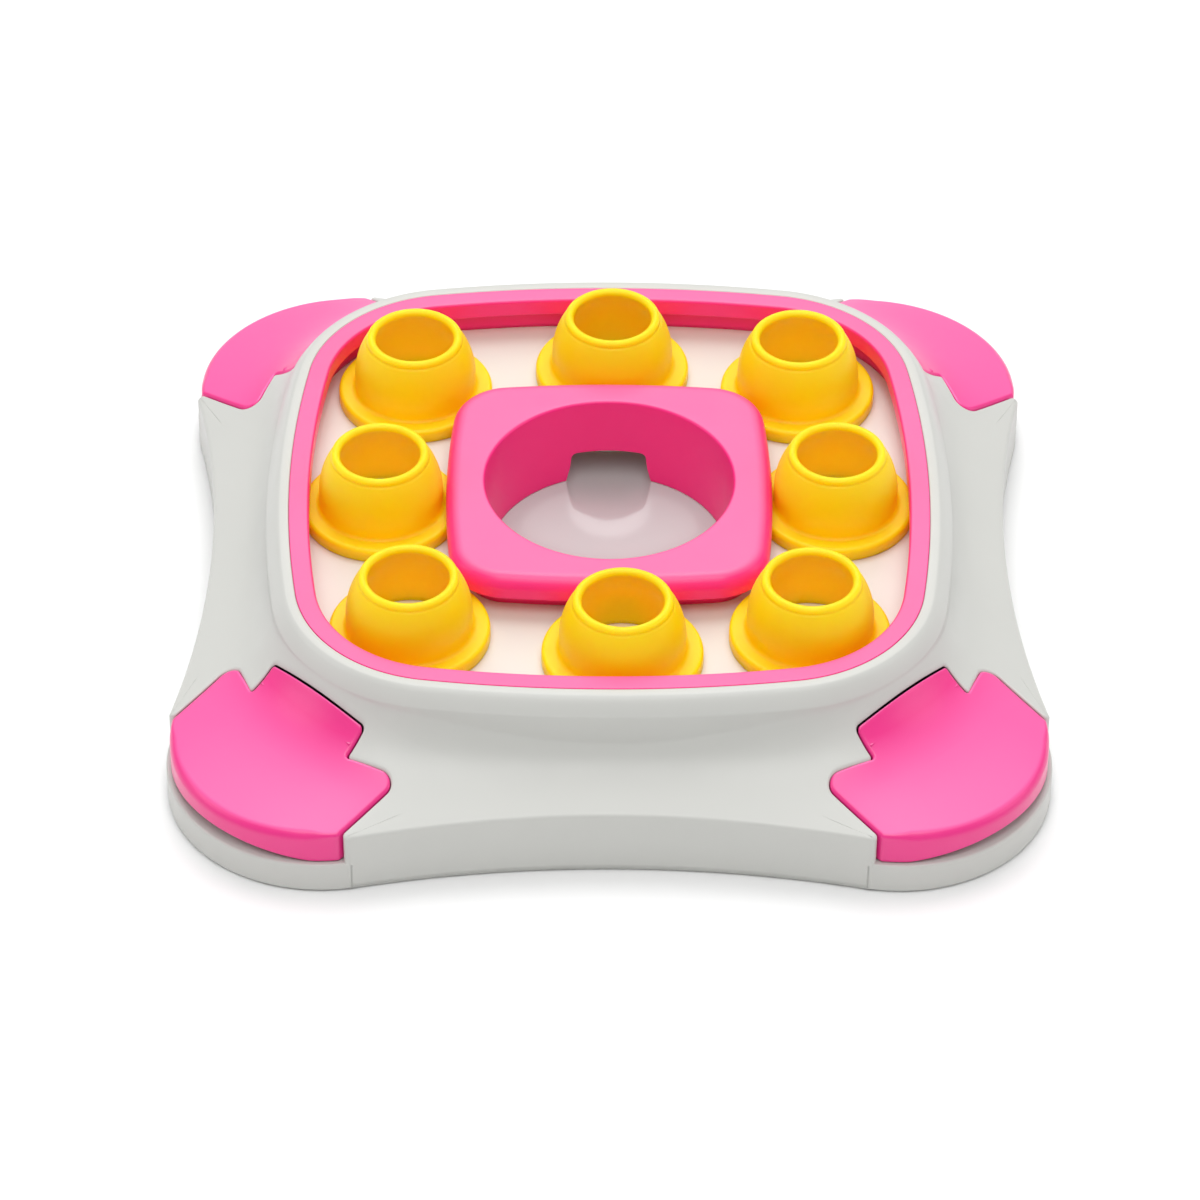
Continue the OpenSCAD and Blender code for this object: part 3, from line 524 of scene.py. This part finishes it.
def base_shell():
    """One closed skin round the whole base. Its columns run round the ring; its rows go from the ledge
    under the track floor up to the ring's top, over the shoulder, down the wall, along the deck to the
    outline or the cut-out of a lid, over the rounded edge, and back underneath."""
    half, tags = half_cut_line()
    # per column, its bearing on the ring and the width of the band there that follows the ring's line
    place = np.concatenate([np.array([0.0]), np.cumsum(np.hypot(*np.diff(half, axis=0).T))])
    marks = [0] + [place[tags <= k][-1] for k in (0, 1, 2, 3)] + [place[-1]]
    bearing = np.interp(place, marks, np.radians([0, 9.35, 12.0, 19.0, 27.5, 45.0]))
    band = np.interp(place, marks, [0.35, 1.3, 2.6, 5.0, 6.5, 7.0])
    # true along a lid, where the skin ends at the cut, and false on the base's side, where it goes down
    down = tags < 3.25
    quarter = np.concatenate([half[::-1] * [1, -1], half[1:]])
    bearing = np.concatenate([-bearing[::-1], bearing[1:]])
    band = np.concatenate([band[::-1], band[1:]])
    down = np.concatenate([down[::-1], down[1:]])
    quarter, bearing, band, down = quarter[:-1], bearing[:-1], band[:-1], down[:-1]
    line = np.concatenate([turned(quarter, np.pi / 4 + q * np.pi / 2) for q in range(4)])
    bearing = np.concatenate([bearing + np.pi / 4 + q * np.pi / 2 for q in range(4)])
    band, down = np.tile(band, 4), np.tile(down, 4)
    inward = normals_of(line)
    direction = np.stack([np.cos(bearing), np.sin(bearing)], 1)
    # one along a lid's tongue and nothing beyond it: there the shell leaves room for the tongue's swing
    off = np.degrees(np.abs(folded(bearing + np.pi / 4)))
    room = 1 - smooth_step((off - ROOM_OFF) / ROOM_FADE)
    rows = []

    def ring_row(u, z, u_room=None, z_room=None):
        u = u if u_room is None else u + (u_room - u) * room
        z = z if z_room is None else z + (z_room - z) * room
        p = direction * ring_radius(u, bearing)[:, None]
        rows.append(np.column_stack([p, np.broadcast_to(z, len(p))]))

    def plan_row(p, z):
        rows.append(np.column_stack([p, z]))

    ledge = FLOOR_H - FLOOR_T
    ring_row(RING_IN - 4, ledge - WALL, RING_IN + 1.2, ROOM_Z)
    ring_row(RING_IN - 4, ledge - 0.05, RING_IN + 0.5, ROOM_Z)
    ring_row(RING_IN, ledge - 0.05, RING_IN, ROOM_Z)
    top = RING_H - 0.6
    for t in np.linspace(0.02, 1, 5):
        ring_row(RING_IN, ledge + (top - ledge) * t, RING_IN, ROOM_Z + (top - ROOM_Z) * t)
    for w in np.linspace(0, np.pi / 2, 5):
        ring_row(RING_IN + 0.5 * (1 - math.cos(w)), RING_H - 0.5 * (1 - math.sin(w)))
    first = len(rows) + 8
    for u, z in shoulder_line():
        ring_row(u, z)
    foot = direction * ring_radius(RING_HALF, bearing)[:, None]
    root = deck_height(*foot.T)
    shoulder = RING_H - RING_ROUND_H
    for t in (0.25, 0.5, 0.75, 0.93):
        plan_row(foot, shoulder + (root - shoulder) * t)
    for t in np.linspace(0, 1, 12) ** 1.3:
        p = direction * (ring_radius(RING_HALF, bearing) + band * t)[:, None]
        plan_row(p, deck_height(*p.T))
    last = len(rows)
    inner = direction * (ring_radius(RING_HALF, bearing) + band)[:, None]
    r = SHELL_ROUND
    outer = line + inward * r
    for t in np.linspace(0, 1, 14)[1:-1] ** 1.25:
        p = inner * (1 - t) + outer * t
        plan_row(p, deck_height(*p.T))
    for come, drop in zip(*rounding(r, 8)):
        p = line + inward * come
        plan_row(p, deck_height(*p.T) - drop)
    brim = deck_height(*line.T) - r
    low = np.where(down, brim - 0.15, SHELL_LOW)
    for t in (0.12, 0.35, 0.65, 0.9):
        plan_row(line, brim + (low - brim) * t)
    plan_row(line, low)
    back = np.where(down, 0.3, WALL)[:, None]
    plan_row(line + inward * back, low)
    under = line + inward * (back + 0.3)
    for t in (1.0, 0.8, 0.5, 0.25, 0.0):
        p = inner * (1 - t) + under * t
        thick = WALL - np.where(down, 1.2, 0.0) * t
        plan_row(p, deck_height(*p.T) - thick)
    ring_row(RING_HALF - WALL, PLAIN_FOOT_Z, RING_HALF - WALL, ROOM_FOOT_Z)
    ring_row(RING_HALF - WALL, shoulder - 0.6)
    ring_row(RING_HALF - RING_ROUND_W, RING_H - WALL)
    ring_row(RING_IN + 2, RING_H - WALL)
    ring_row(RING_IN + 2, ledge - WALL, RING_IN + 2, ROOM_Z)
    rows = np.array(rows)
    # at the corners, where the deck sweeps up to the shoulder, the rows between the two are faired
    near = (np.sin(2 * bearing) ** 8)[:, None] * 0.5
    for _ in range(30):
        middle = (rows[first - 1:last - 1] + rows[first + 1:last + 1]) / 2
        rows[first:last] += near * (middle - rows[first:last])
    return rows


def corner_rims():
    """The low rim round each corner, with a shelf inside it that runs in to the well's wall under the lid:
    a rounded section carried along an arc, with closed ends."""
    start = np.pi / 4 - math.asin((LID_HALF + LID_GAP + 3) / CORNER_R)
    a = np.linspace(start, np.pi / 2 - start, 90)
    shelf = LID_R - LID_T - 1.3
    section = finer(fillets([(CORNER_R - WALL, SHELL_LOW), (CORNER_R, SHELL_LOW), (CORNER_R, RIM_H),
                             (shelf, RIM_H - 0.3), (shelf, RIM_H - 2.5), (CORNER_R - WALL, RIM_H - 2.2)],
                            [0.3, 0.3, 0.8, 0.3, 0.3, 0.6], 7), 1.5)
    grid = np.stack([CORNER_C + section[:, :1] * np.cos(a), CORNER_C + section[:, :1] * np.sin(a),
                     np.repeat(section[:, 1:], len(a), 1)], -1)
    middle = grid.mean(0, keepdims=True)
    first, last = np.repeat(middle[:, :1], len(grid), 0), np.repeat(middle[:, -1:], len(grid), 0)
    grid = np.concatenate([first, grid, last], 1)
    return [turned(grid, q * np.pi / 2) for q in range(4)]


points, quads = several_grids([(base_shell(), True, True)] + [(g, False, True) for g in corner_rims()])
mesh_object("shell_skin", points, quads, WHITE, "base", ["body_shell"])


# ---------------------------------------------------------------- track rim
def rim_grid():
    """The pink rim: a section with the half width of the ring's line for X, carried round that line."""
    section = finer(fillets([(RIM_IN, FLOOR_H), (RIM_HALF, FLOOR_H), (RIM_HALF, RING_H), (LIP_HALF, RING_H),
                             (LIP_HALF, LIP_Z), (RIM_IN, LIP_Z)], [0, 0, 0.3, 1.0, 0.5, 0.5], 7), 1.5)
    a = np.linspace(0, 2 * np.pi, 720, endpoint=False)
    r = np.array([ring_radius(u, a) for u in section[:, 0]])
    return np.stack([r * np.cos(a), r * np.sin(a), np.repeat(section[:, 1:], len(a), 1)], -1)


grid_object("track_rim", rim_grid(), True, True, PINK, "base", ["rim_trim"])


# ---------------------------------------------------------------- centre block
def notch_line():
    """Half of the notch in the bowl's wall as distance beside its middle and height above the wall's lower
    end: a level top, a round, a leaning side and a small flare at the foot."""
    corner, knee = (NOTCH_TOP_W, NOTCH_UP), (12.5, 4.6)
    edges = [straight((0, NOTCH_UP), corner, 9), straight(corner, knee, 9),
             straight(knee, (NOTCH_LOW_W, 0), 7)]
    return rounded(edges, [1.9, 4.0], 9)[0]


def block_grid():
    """The raised block: skirt, lip, rounded shoulder and top on bowed sides with round corners, drawn in to
    the bowl's round mouth, then down its tapered wall with the chute's notch, and back up behind."""
    notch = notch_line()
    aside = np.arcsin(notch[:, 0] / (BOWL_LOW_R + 0.3))
    base = np.linspace(0, 2 * np.pi, 720, endpoint=False)
    far = np.abs(base - np.pi / 2) > aside[-1] + 0.004
    a = np.sort(np.concatenate([base[far], np.pi / 2 + aside[1:], np.pi / 2 - aside]))
    low = BOWL_LOW_H + np.interp(np.abs(a - np.pi / 2), aside, notch[:, 1], right=0)
    rows = []

    def row(r, z):
        rows.append(np.stack([r * np.cos(a), r * np.sin(a), np.broadcast_to(z, a.shape)], -1))

    def block_row(u, z):
        row(ring_radius(u, a, BLOCK_C), z)

    for z in np.linspace(FLOOR_H, BLOCK_LIP_Z - 0.4, 5):
        block_row(BLOCK_IN, z)
    for w in np.linspace(0, np.pi / 2, 4):
        block_row(BLOCK_IN + 0.4 - 0.4 * math.cos(w), BLOCK_LIP_Z - 0.4 + 0.4 * math.sin(w))
    for t in (0.5, 0.9):
        block_row(BLOCK_IN + (BLOCK_LIP - 0.5) * t, BLOCK_LIP_Z)
    for w in np.linspace(0, np.pi / 2, 6):
        block_row(BLOCK_HALF - 0.5 + 0.5 * math.sin(w), BLOCK_LIP_Z + 0.5 - 0.5 * math.cos(w))
    for w in np.linspace(0, np.pi / 2, 18):
        block_row(BLOCK_HALF - BLOCK_ROUND * (1 - math.cos(w)), BLOCK_H - BLOCK_ROUND * (1 - math.sin(w)))
    mouth, top = BOWL_TOP_R + MOUTH_ROUND, BLOCK_H - MOUTH_ROUND
    flat = ring_radius(BLOCK_HALF - BLOCK_ROUND, a, BLOCK_C)
    for t in (0.12, 0.3, 0.5, 0.7, 0.9, 1.0):
        row(flat * (1 - t) + mouth * t, BLOCK_H)
    for w in np.linspace(0, np.pi / 2, 7)[1:]:
        row(mouth - MOUTH_ROUND * math.sin(w), BLOCK_H - MOUTH_ROUND * (1 - math.cos(w)))

    def bowl_r(z):
        return BOWL_LOW_R + (BOWL_TOP_R - BOWL_LOW_R) * (z - BOWL_LOW_H) / (top - BOWL_LOW_H)

    for t in (0.15, 0.3, 0.45, 0.6, 0.75, 0.88, 0.96):
        z = top + (low + 0.4 - top) * t
        row(bowl_r(z), z)
    for w in np.linspace(0, np.pi / 2, 5):
        z = low + 0.4 - 0.4 * math.sin(w)
        row(bowl_r(z) + 0.4 - 0.4 * math.cos(w), z)
    row(bowl_r(low) + WALL - 0.2, low)
    row(bowl_r(low) + WALL, low + 0.2)
    upper = BLOCK_H - WALL
    row(bowl_r(upper) + WALL, (low + upper) / 2)
    row(bowl_r(upper) + WALL, upper)
    block_row(BLOCK_IN - WALL, upper)
    block_row(BLOCK_IN - WALL, FLOOR_H)
    return np.array(rows)


grid_object("block_moulding", block_grid(), True, True, PINK, "base", ["centre_block"])


# ---------------------------------------------------------------- dish
def channel_height(x, y):
    """Height of the chute's inside over a point: a floor that climbs away from the bowl, with a large
    radius across it, a round at each side and a steep wall beyond."""
    x = np.abs(x)
    half, r, big = CHUTE_HALF + 0.5, CHUTE_CORNER, CHUTE_R - CHUTE_T
    rise = big - math.sqrt((big - r) ** 2 - (half - r) ** 2)
    floor = big - np.sqrt(big**2 - np.minimum(x, half) ** 2)
    turn = rise - np.sqrt(np.maximum(r**2 - np.clip(x - half + r, 0, r) ** 2, 0))
    across = np.where(x < (half - r) * big / (big - r), floor, turn)
    across += np.maximum(x - half, 0) * CHUTE_WALL_RISE
    low = BOWL_LOW_H - CHUTE_DROP + CHUTE_T - (CHUTE_LOW_AT - y) * math.tan(math.radians(CHUTE_SLOPE))
    # nothing of it is near the front half of the bowl
    return np.where(y > 8, low + across, 100.0)


def smooth_min(a, b, k):
    """The lower of two heights, with the crease between them rounded over the height k."""
    h = np.clip(0.5 + 0.5 * (b - a) / k, 0, 1)
    return b + (a - b) * h - k * h * (1 - h)


def dish_grids():
    """The dish: a shallow cap of a sphere with a flat flange, into which the chute's channel is sunk and
    fades out; the channel's first stretch runs on beyond the flange. Below it stands a foot ring."""
    edge, top = BOWL_LOW_R - 0.2, BOWL_LOW_H - FIT_GAP
    big = (edge**2 + DISH_DEEP**2) / (2 * DISH_DEEP)
    a = np.unique(np.round(np.concatenate([np.linspace(0, 2 * np.pi, 256, endpoint=False),
                                           np.pi / 2 + np.radians(np.arange(-27, 27.01, 0.25))]), 6))
    c, s = np.cos(a), np.sin(a)
    along = np.minimum(DISH_RUNS_TO / np.maximum(s, 0.1), (CHUTE_HALF + 0.5) / np.maximum(np.abs(c), 1e-6))
    out = np.where(s > 0.5, np.maximum(edge + DISH_FLANGE, along), edge + DISH_FLANGE)
    steps = np.concatenate([np.linspace(0, 20, 14), np.arange(20.35, edge, 0.35), [edge]])
    radii = [np.full_like(a, r) for r in steps]
    radii += [edge + (out - edge) * t for t in np.linspace(0, 1, 24)[1:]]

    def surface(r):
        x, y = r * c, r * s
        cap = top - DISH_DEEP + big - np.sqrt(big**2 - np.minimum(r, edge) ** 2)
        return np.stack([x, y, smooth_min(cap, channel_height(x, y), DISH_CREASE)], -1)

    upper = [surface(r) for r in radii]
    lower = [p - [0, 0, DISH_T] for p in upper[::-3]] + [upper[0] - [0, 0, DISH_T]]
    ring = [surface(np.full_like(a, r)) for r in (edge + 2.5, edge + 4.5)]
    low = np.full_like(a, PLATE_TOP + FIT_GAP)
    foot = [np.column_stack([p[:, :2], z]) for p, z in (
        (ring[0], low), (ring[1], low), (ring[1], ring[1][:, 2] - 1.5), (ring[0], ring[0][:, 2] - 1.5))]
    return [(np.array(upper + lower), True, False), (np.array(foot), True, True)]


def chute_grid():
    """The rest of the chute: its channel carried up the slope with a wall CHUTE_T thick. The columns run
    across it; the rows run back over the inside, up and over the end wall, and forward underneath."""
    half, end = CHUTE_HALF, TRACK_HALF + CHUTE_PAST
    x = np.linspace(-1, 1, 41)

    def section(y, reach, drop):
        """Across the chute at y; without a drop it is level with the brim."""
        low = channel_height(x * half, y) - drop if drop else np.full_like(x, BRIM_Z)
        line = np.column_stack([x * reach, np.full_like(x, y), low])
        ends = [[[k * (half + CHUTE_T / 2), y, BRIM_Z], [k * reach, y, BRIM_Z]] for k in (-1, 1)]
        return np.concatenate([ends[0], line, ends[1][::-1]])

    back = np.linspace(CHUTE_FROM, end - CHUTE_T, 14)
    rows = [section(y, half, 0.3) for y in back]
    rows += [section(end - CHUTE_T, half, 0), section(end, half + CHUTE_T, 0)]
    rows += [section(y, half + CHUTE_T, 0.3 + CHUTE_T) for y in np.append(end, back[::-1])]
    return np.array(rows)


points, quads = several_grids(dish_grids())
mesh_object("dish_moulding", points, quads, GLOSS, "base", ["bowl_dish"])
grid_object("chute_moulding", chute_grid(), False, True, GLOSS, "base", ["treat_chute"])


# ---------------------------------------------------------------- cups
def cup_section():
    """Flange, dome, groove and rolled lip outside, and the same dome a skin thinner inside."""
    lip_r = LIP_D / 2
    lip_c, lip_at = HOLE_R + lip_r, GROOVE_H + 0.22 * LIP_D
    dome_in, fillet, edge = DOME_R - DOME_CURVE, DOME_FILLET, 1.3
    outer = [(CUP_R - 0.4, 0), (CUP_R, 0.4)]
    w = np.linspace(0, np.pi / 2, 10)
    outer += list(np.stack([CUP_R - edge + edge * np.cos(w), FLANGE_T - edge + edge * np.sin(w)], 1))
    w = np.linspace(-np.pi / 2, -np.pi, 8)
    foot_r, foot_z = DOME_R + fillet, FLANGE_T + fillet
    outer += [(foot_r + 1.5, FLANGE_T)]
    outer += list(np.stack([foot_r + fillet * np.cos(w), foot_z + fillet * np.sin(w)], 1))
    outer += [(DOME_R, z) for z in np.linspace(foot_z + 0.8, DOME_STRAIGHT, 5)]
    # the dome runs up to the groove, where a small fillet leads into the lip
    end = math.asin((GROOVE_H - DOME_STRAIGHT - 0.1) / DOME_CURVE)
    w = np.linspace(0, end, 24)[1:]
    outer += list(np.stack([dome_in + DOME_CURVE * np.cos(w), DOME_STRAIGHT + DOME_CURVE * np.sin(w)], 1))
    w = np.linspace(-0.35, np.pi, 26)
    outer += list(np.stack([lip_c + lip_r * np.cos(w), lip_at + lip_r * np.sin(w)], 1))
    skin = DOME_CURVE - CUP_T
    w = np.linspace(math.acos((HOLE_R + 0.05 - dome_in) / skin), 0, 20)
    inner = [(dome_in + skin * math.cos(k), DOME_STRAIGHT + skin * math.sin(k)) for k in w]
    inner += [(DOME_R - CUP_T, z) for z in (7, 4, 2, 0.4)]
    inner += [(DOME_R - CUP_T + 0.4, 0)]
    return np.array(outer + inner)


cup_line = cup_section() + [0, FLOOR_H + CUP_GAP]
for name, place in CUPS.items():
    cup = turned_section(cup_line, 144, place)
    grid_object(name + "_moulding", cup, True, True, YELLOW, name, [name])


# ---------------------------------------------------------------- lids
def lid_line():
    """A lid's closed outline in plan, on its diagonal: the tongue, a notch, an ear, a side and the round
    front, and the same mirrored."""
    tongue = arc((TONGUE_D - TONGUE_ARC_R, 0), TONGUE_ARC_R, 0, math.asin(TONGUE_HALF / TONGUE_ARC_R), 40)
    notch = (NOTCH_D + NOTCH_DEEPER, TONGUE_HALF + TONGUE_FLARE)
    ear = (EAR_D, LID_HALF)
    front_d = CORNER_D + math.sqrt(LID_R**2 - LID_HALF**2)
    front = arc((CORNER_D, 0), LID_R, math.asin(LID_HALF / LID_R), 0, 70)
    half, _ = rounded([tongue, straight(tongue[-1], notch, 14), straight(notch, ear, 26),
                       straight(ear, (front_d, LID_HALF), 30), front], [1.1, 0.7, 3.8, 1.5], 11)
    return np.concatenate([half, half[-2:0:-1] * [1, -1]])


def lid_grid():
    """A lid on its diagonal: the deck's own surface drawn from a spine out to the outline, a rounded edge,
    a skirt that is deep at the front with an arched lower edge, and the underside a skin thinner."""
    line = lid_line()
    inward = normals_of(line)
    if inward[0, 0] < 0:
        inward = -inward
    spine = np.stack([np.full(len(line), LID_SPINE_D), line[:, 1] * LID_SPINE_SHARE], 1)
    c, s = math.cos(np.pi / 4), math.sin(np.pi / 4)

    def deck(p):
        return deck_height(c * p[:, 0] - s * p[:, 1], s * p[:, 0] + c * p[:, 1])

    at_front = line[:, 0] > CORNER_D + 20
    frontness = np.where(at_front, smooth_step((LID_HALF - 1.2 - np.abs(line[:, 1])) / 6), 0)
    r = LID_ROUND + FRONT_ROUND_MORE * frontness
    rows = []
    for t in 1 - np.linspace(1, 0, 20) ** 1.4:
        p = spine * (1 - t) + (line + inward * r[:, None]) * t
        rows.append(np.column_stack([p, deck(p)]))
    for w in np.linspace(0, np.pi / 2, 10)[1:]:
        p = line + inward * (r * (1 - math.sin(w)))[:, None]
        rows.append(np.column_stack([p, deck(p) - r * (1 - math.cos(w))]))
    brim = deck(line) - r
    half = LID_HALF - NOSE_IN
    big = (half**2 + NOSE_GAP**2) / (2 * NOSE_GAP)
    t2 = np.abs(line[:, 1])
    arch = LID_LOW + NOSE_GAP - big + np.sqrt(big**2 - np.minimum(t2, half) ** 2)
    front = smooth_step((line[:, 0] - LID_SKIRT_D) / 1.2)
    low = (1 - front) * (deck(line) - LID_EDGE) + front * np.maximum(arch, LID_LOW)
    for t in (0.2, 0.45, 0.7, 0.92):
        rows.append(np.column_stack([line, brim + (low - brim) * t]))
    for w in np.linspace(0, np.pi / 2, 4):
        come, rise = 0.3 * (1 - math.cos(w)), 0.3 * (1 - math.sin(w))
        rows.append(np.column_stack([line + inward * come, low + rise]))
    inner = line + inward * LID_T
    rows.append(np.column_stack([line + inward * (LID_T - 0.3), low]))
    rows.append(np.column_stack([inner, low + 0.3]))
    rows.append(np.column_stack([inner, np.maximum(low + 0.3, deck(inner) - LID_T - 0.4)]))
    for t in np.linspace(0, 1, 9):
        p = inner * (1 - t) + spine * t
        rows.append(np.column_stack([p, deck(p) - LID_T]))
    return np.array(rows)


def lug_grid(sign):
    """A hinge lug on the diagonal: a round boss with a flat-sided neck up to the lid, bored for its pin.
    The section (bore or outside, near or far end) is carried round the hinge's axis."""
    pin_from = TONGUE_HALF + TONGUE_FLARE + LID_GAP + BOSS_LEN - 0.2 - PIN_LEN
    y0, y1 = pin_from - 1, TONGUE_HALF - 0.2
    a = np.linspace(0, 2 * np.pi, 72, endpoint=False)
    boss = PIN_R + BOSS_WALL + LUG_MORE
    corner = deck_height_diagonal(HINGE_D, y1) - HINGE_Z - LID_T / 2
    side = boss / np.maximum(np.abs(np.cos(a)), 1e-6)
    top = corner / np.maximum(np.sin(a), 1e-6)
    out = np.where(np.sin(a) > 0, np.minimum(side, top), boss)
    bore = np.full_like(a, PIN_R + PIN_GAP)
    rows = []
    for radius, y in ((bore, y0), (bore + 0.3, y0), (out - 0.3, y0), (out, y0 + 0.3),
                      (out, y1 - 0.3), (out - 0.3, y1), (bore + 0.3, y1), (bore, y1)):
        x, z = HINGE_D + radius * np.cos(a), HINGE_Z + radius * np.sin(a)
        rows.append(np.stack([x, np.full_like(a, sign * y), z], -1))
    return np.array(rows)


def deck_height_diagonal(d, t):
    """Height of the deck d along a corner's diagonal and t beside it."""
    return float(deck_height(np.array([(d - t) / ROOT2]), np.array([(d + t) / ROOT2]))[0])


lid = lid_grid()
lugs = [lug_grid(1), lug_grid(-1)]
for q, name in enumerate(LIDS):
    angle = np.pi / 4 + q * np.pi / 2
    parts = [(turned(lid, angle), True, False)] + [(turned(g, angle), True, True) for g in lugs]
    points, quads = several_grids(parts)
    mesh_object(name + "_moulding", points, quads, LID_PINK, name, [name])


# ---------------------------------------------------------------- studio
def studio():
    """A pale floor that curves up behind, soft light from high panels in front, above and behind, two weak
    panels at the sides, and a pale world."""
    front, bend_at, bend_r = -4.0, 2.5, 1.5
    w = np.linspace(0, np.pi / 2, 20)
    x = np.linspace(-4.5, 4.5, 40)
    back = bend_at + bend_r
    y = np.concatenate([np.linspace(front, bend_at, 20), bend_at + bend_r * np.sin(w)[1:], [back, back]])
    z = np.concatenate([np.zeros(20), bend_r * (1 - np.cos(w))[1:], [3.0, 5.0]])
    grid = np.stack(np.broadcast_arrays(x[None, :], y[:, None], z[:, None]), -1)
    quads = grid_quads(*grid.shape[:2], False, False)
    mesh = bpy.data.meshes.new("studio_sweep")
    mesh.from_pydata(grid.reshape(-1, 3).tolist(), [], quads.tolist())
    mesh.polygons.foreach_set("use_smooth", np.ones(len(quads), bool))
    m = bpy.data.materials.new("studio_paper")
    m.use_nodes = True
    nodes, links = m.node_tree.nodes, m.node_tree.links
    bsdf = nodes["Principled BSDF"]
    bsdf.inputs["Roughness"].default_value = 0.9
    where = nodes.new("ShaderNodeTexCoord")
    tone = nodes.new("ShaderNodeTexNoise")
    tone.inputs["Scale"].default_value = 1.5
    ramp = nodes.new("ShaderNodeValToRGB")
    ramp.color_ramp.elements[0].color = rgb(0.93, 0.93, 0.93)
    ramp.color_ramp.elements[1].color = rgb(0.95, 0.95, 0.95)
    links.new(where.outputs["Object"], tone.inputs["Vector"])
    links.new(tone.outputs["Fac"], ramp.inputs["Fac"])
    links.new(ramp.outputs["Color"], bsdf.inputs["Base Color"])
    mesh.materials.append(m)
    floor = bpy.data.objects.new("studio_sweep", mesh)
    bpy.context.scene.collection.objects.link(floor)
    world = bpy.data.worlds.new("studio_world")
    world.use_nodes = True
    background = world.node_tree.nodes["Background"]
    background.inputs["Color"].default_value = rgb(1.0, 1.0, 1.0)
    background.inputs["Strength"].default_value = 0.42
    bpy.context.scene.world = world
    # place in metres, diameter in metres and power in watts
    for name, place, size, power in (
        ("front_panel", (0.0, -0.75, 1.50), 1.1, 9.5),
        ("back_panel", (0.0, 1.20, 1.85), 2.2, 22),
        ("top_panel", (0.0, 0.50, 1.60), 0.8, 4.5),
        ("left_panel", (-1.5, -0.1, 0.9), 1.0, 3.5),
        ("right_panel", (1.5, -0.1, 0.8), 1.0, 3),
    ):
        light = bpy.data.lights.new(name, "AREA")
        light.shape = "DISK"
        light.size = size
        light.energy = power
        lamp = bpy.data.objects.new(name, light)
        lamp.location = place
        lamp.rotation_euler = (Vector((0, 0, 0.03)) - Vector(place)).to_track_quat("-Z", "Y").to_euler()
        bpy.context.scene.collection.objects.link(lamp)


def camera():
    """A long lens, turned a hair to the left, 39 degrees above the floor, aimed so that the part's middle
    stands a little right of and well above the frame's own middle."""
    az, el, roll = math.radians(-0.437), math.radians(39.102), math.radians(0.405)
    # the distance in metres; the focal length and the offset of the aim in pixels of a frame this wide
    dist, focal, ox, oy, frame_px, sensor = 1.67699, 5263.98, 9.04, -86.71, 1200, 36.0
    back = Vector((math.sin(az) * math.cos(el), -math.cos(az) * math.cos(el), math.sin(el)))
    right = Vector((math.cos(az), math.sin(az), 0))
    up = back.cross(right)
    right, up = math.cos(roll) * right + math.sin(roll) * up, -math.sin(roll) * right + math.cos(roll) * up
    # turning the camera by the offset of its aim stands in for the small shift of the frame
    aim = (-back * focal - right * ox + up * oy).normalized()
    z = -aim
    x = up.cross(z).normalized()
    y = z.cross(x)
    cam = bpy.data.cameras.new("camera")
    cam.sensor_width = sensor
    cam.sensor_fit = "HORIZONTAL"
    cam.lens = focal / frame_px * sensor
    cam.clip_start, cam.clip_end = 0.05, 30
    obj = bpy.data.objects.new("camera", cam)
    centre = Vector((0, 0, FLOOR_H * MM))
    obj.matrix_world = Matrix.Translation(centre + back * dist) @ Matrix((x, y, z)).transposed().to_4x4()
    bpy.context.scene.collection.objects.link(obj)
    bpy.context.scene.camera = obj


studio()
camera()
view = bpy.context.scene.view_settings
view.view_transform = "Standard"
view.look = "None"
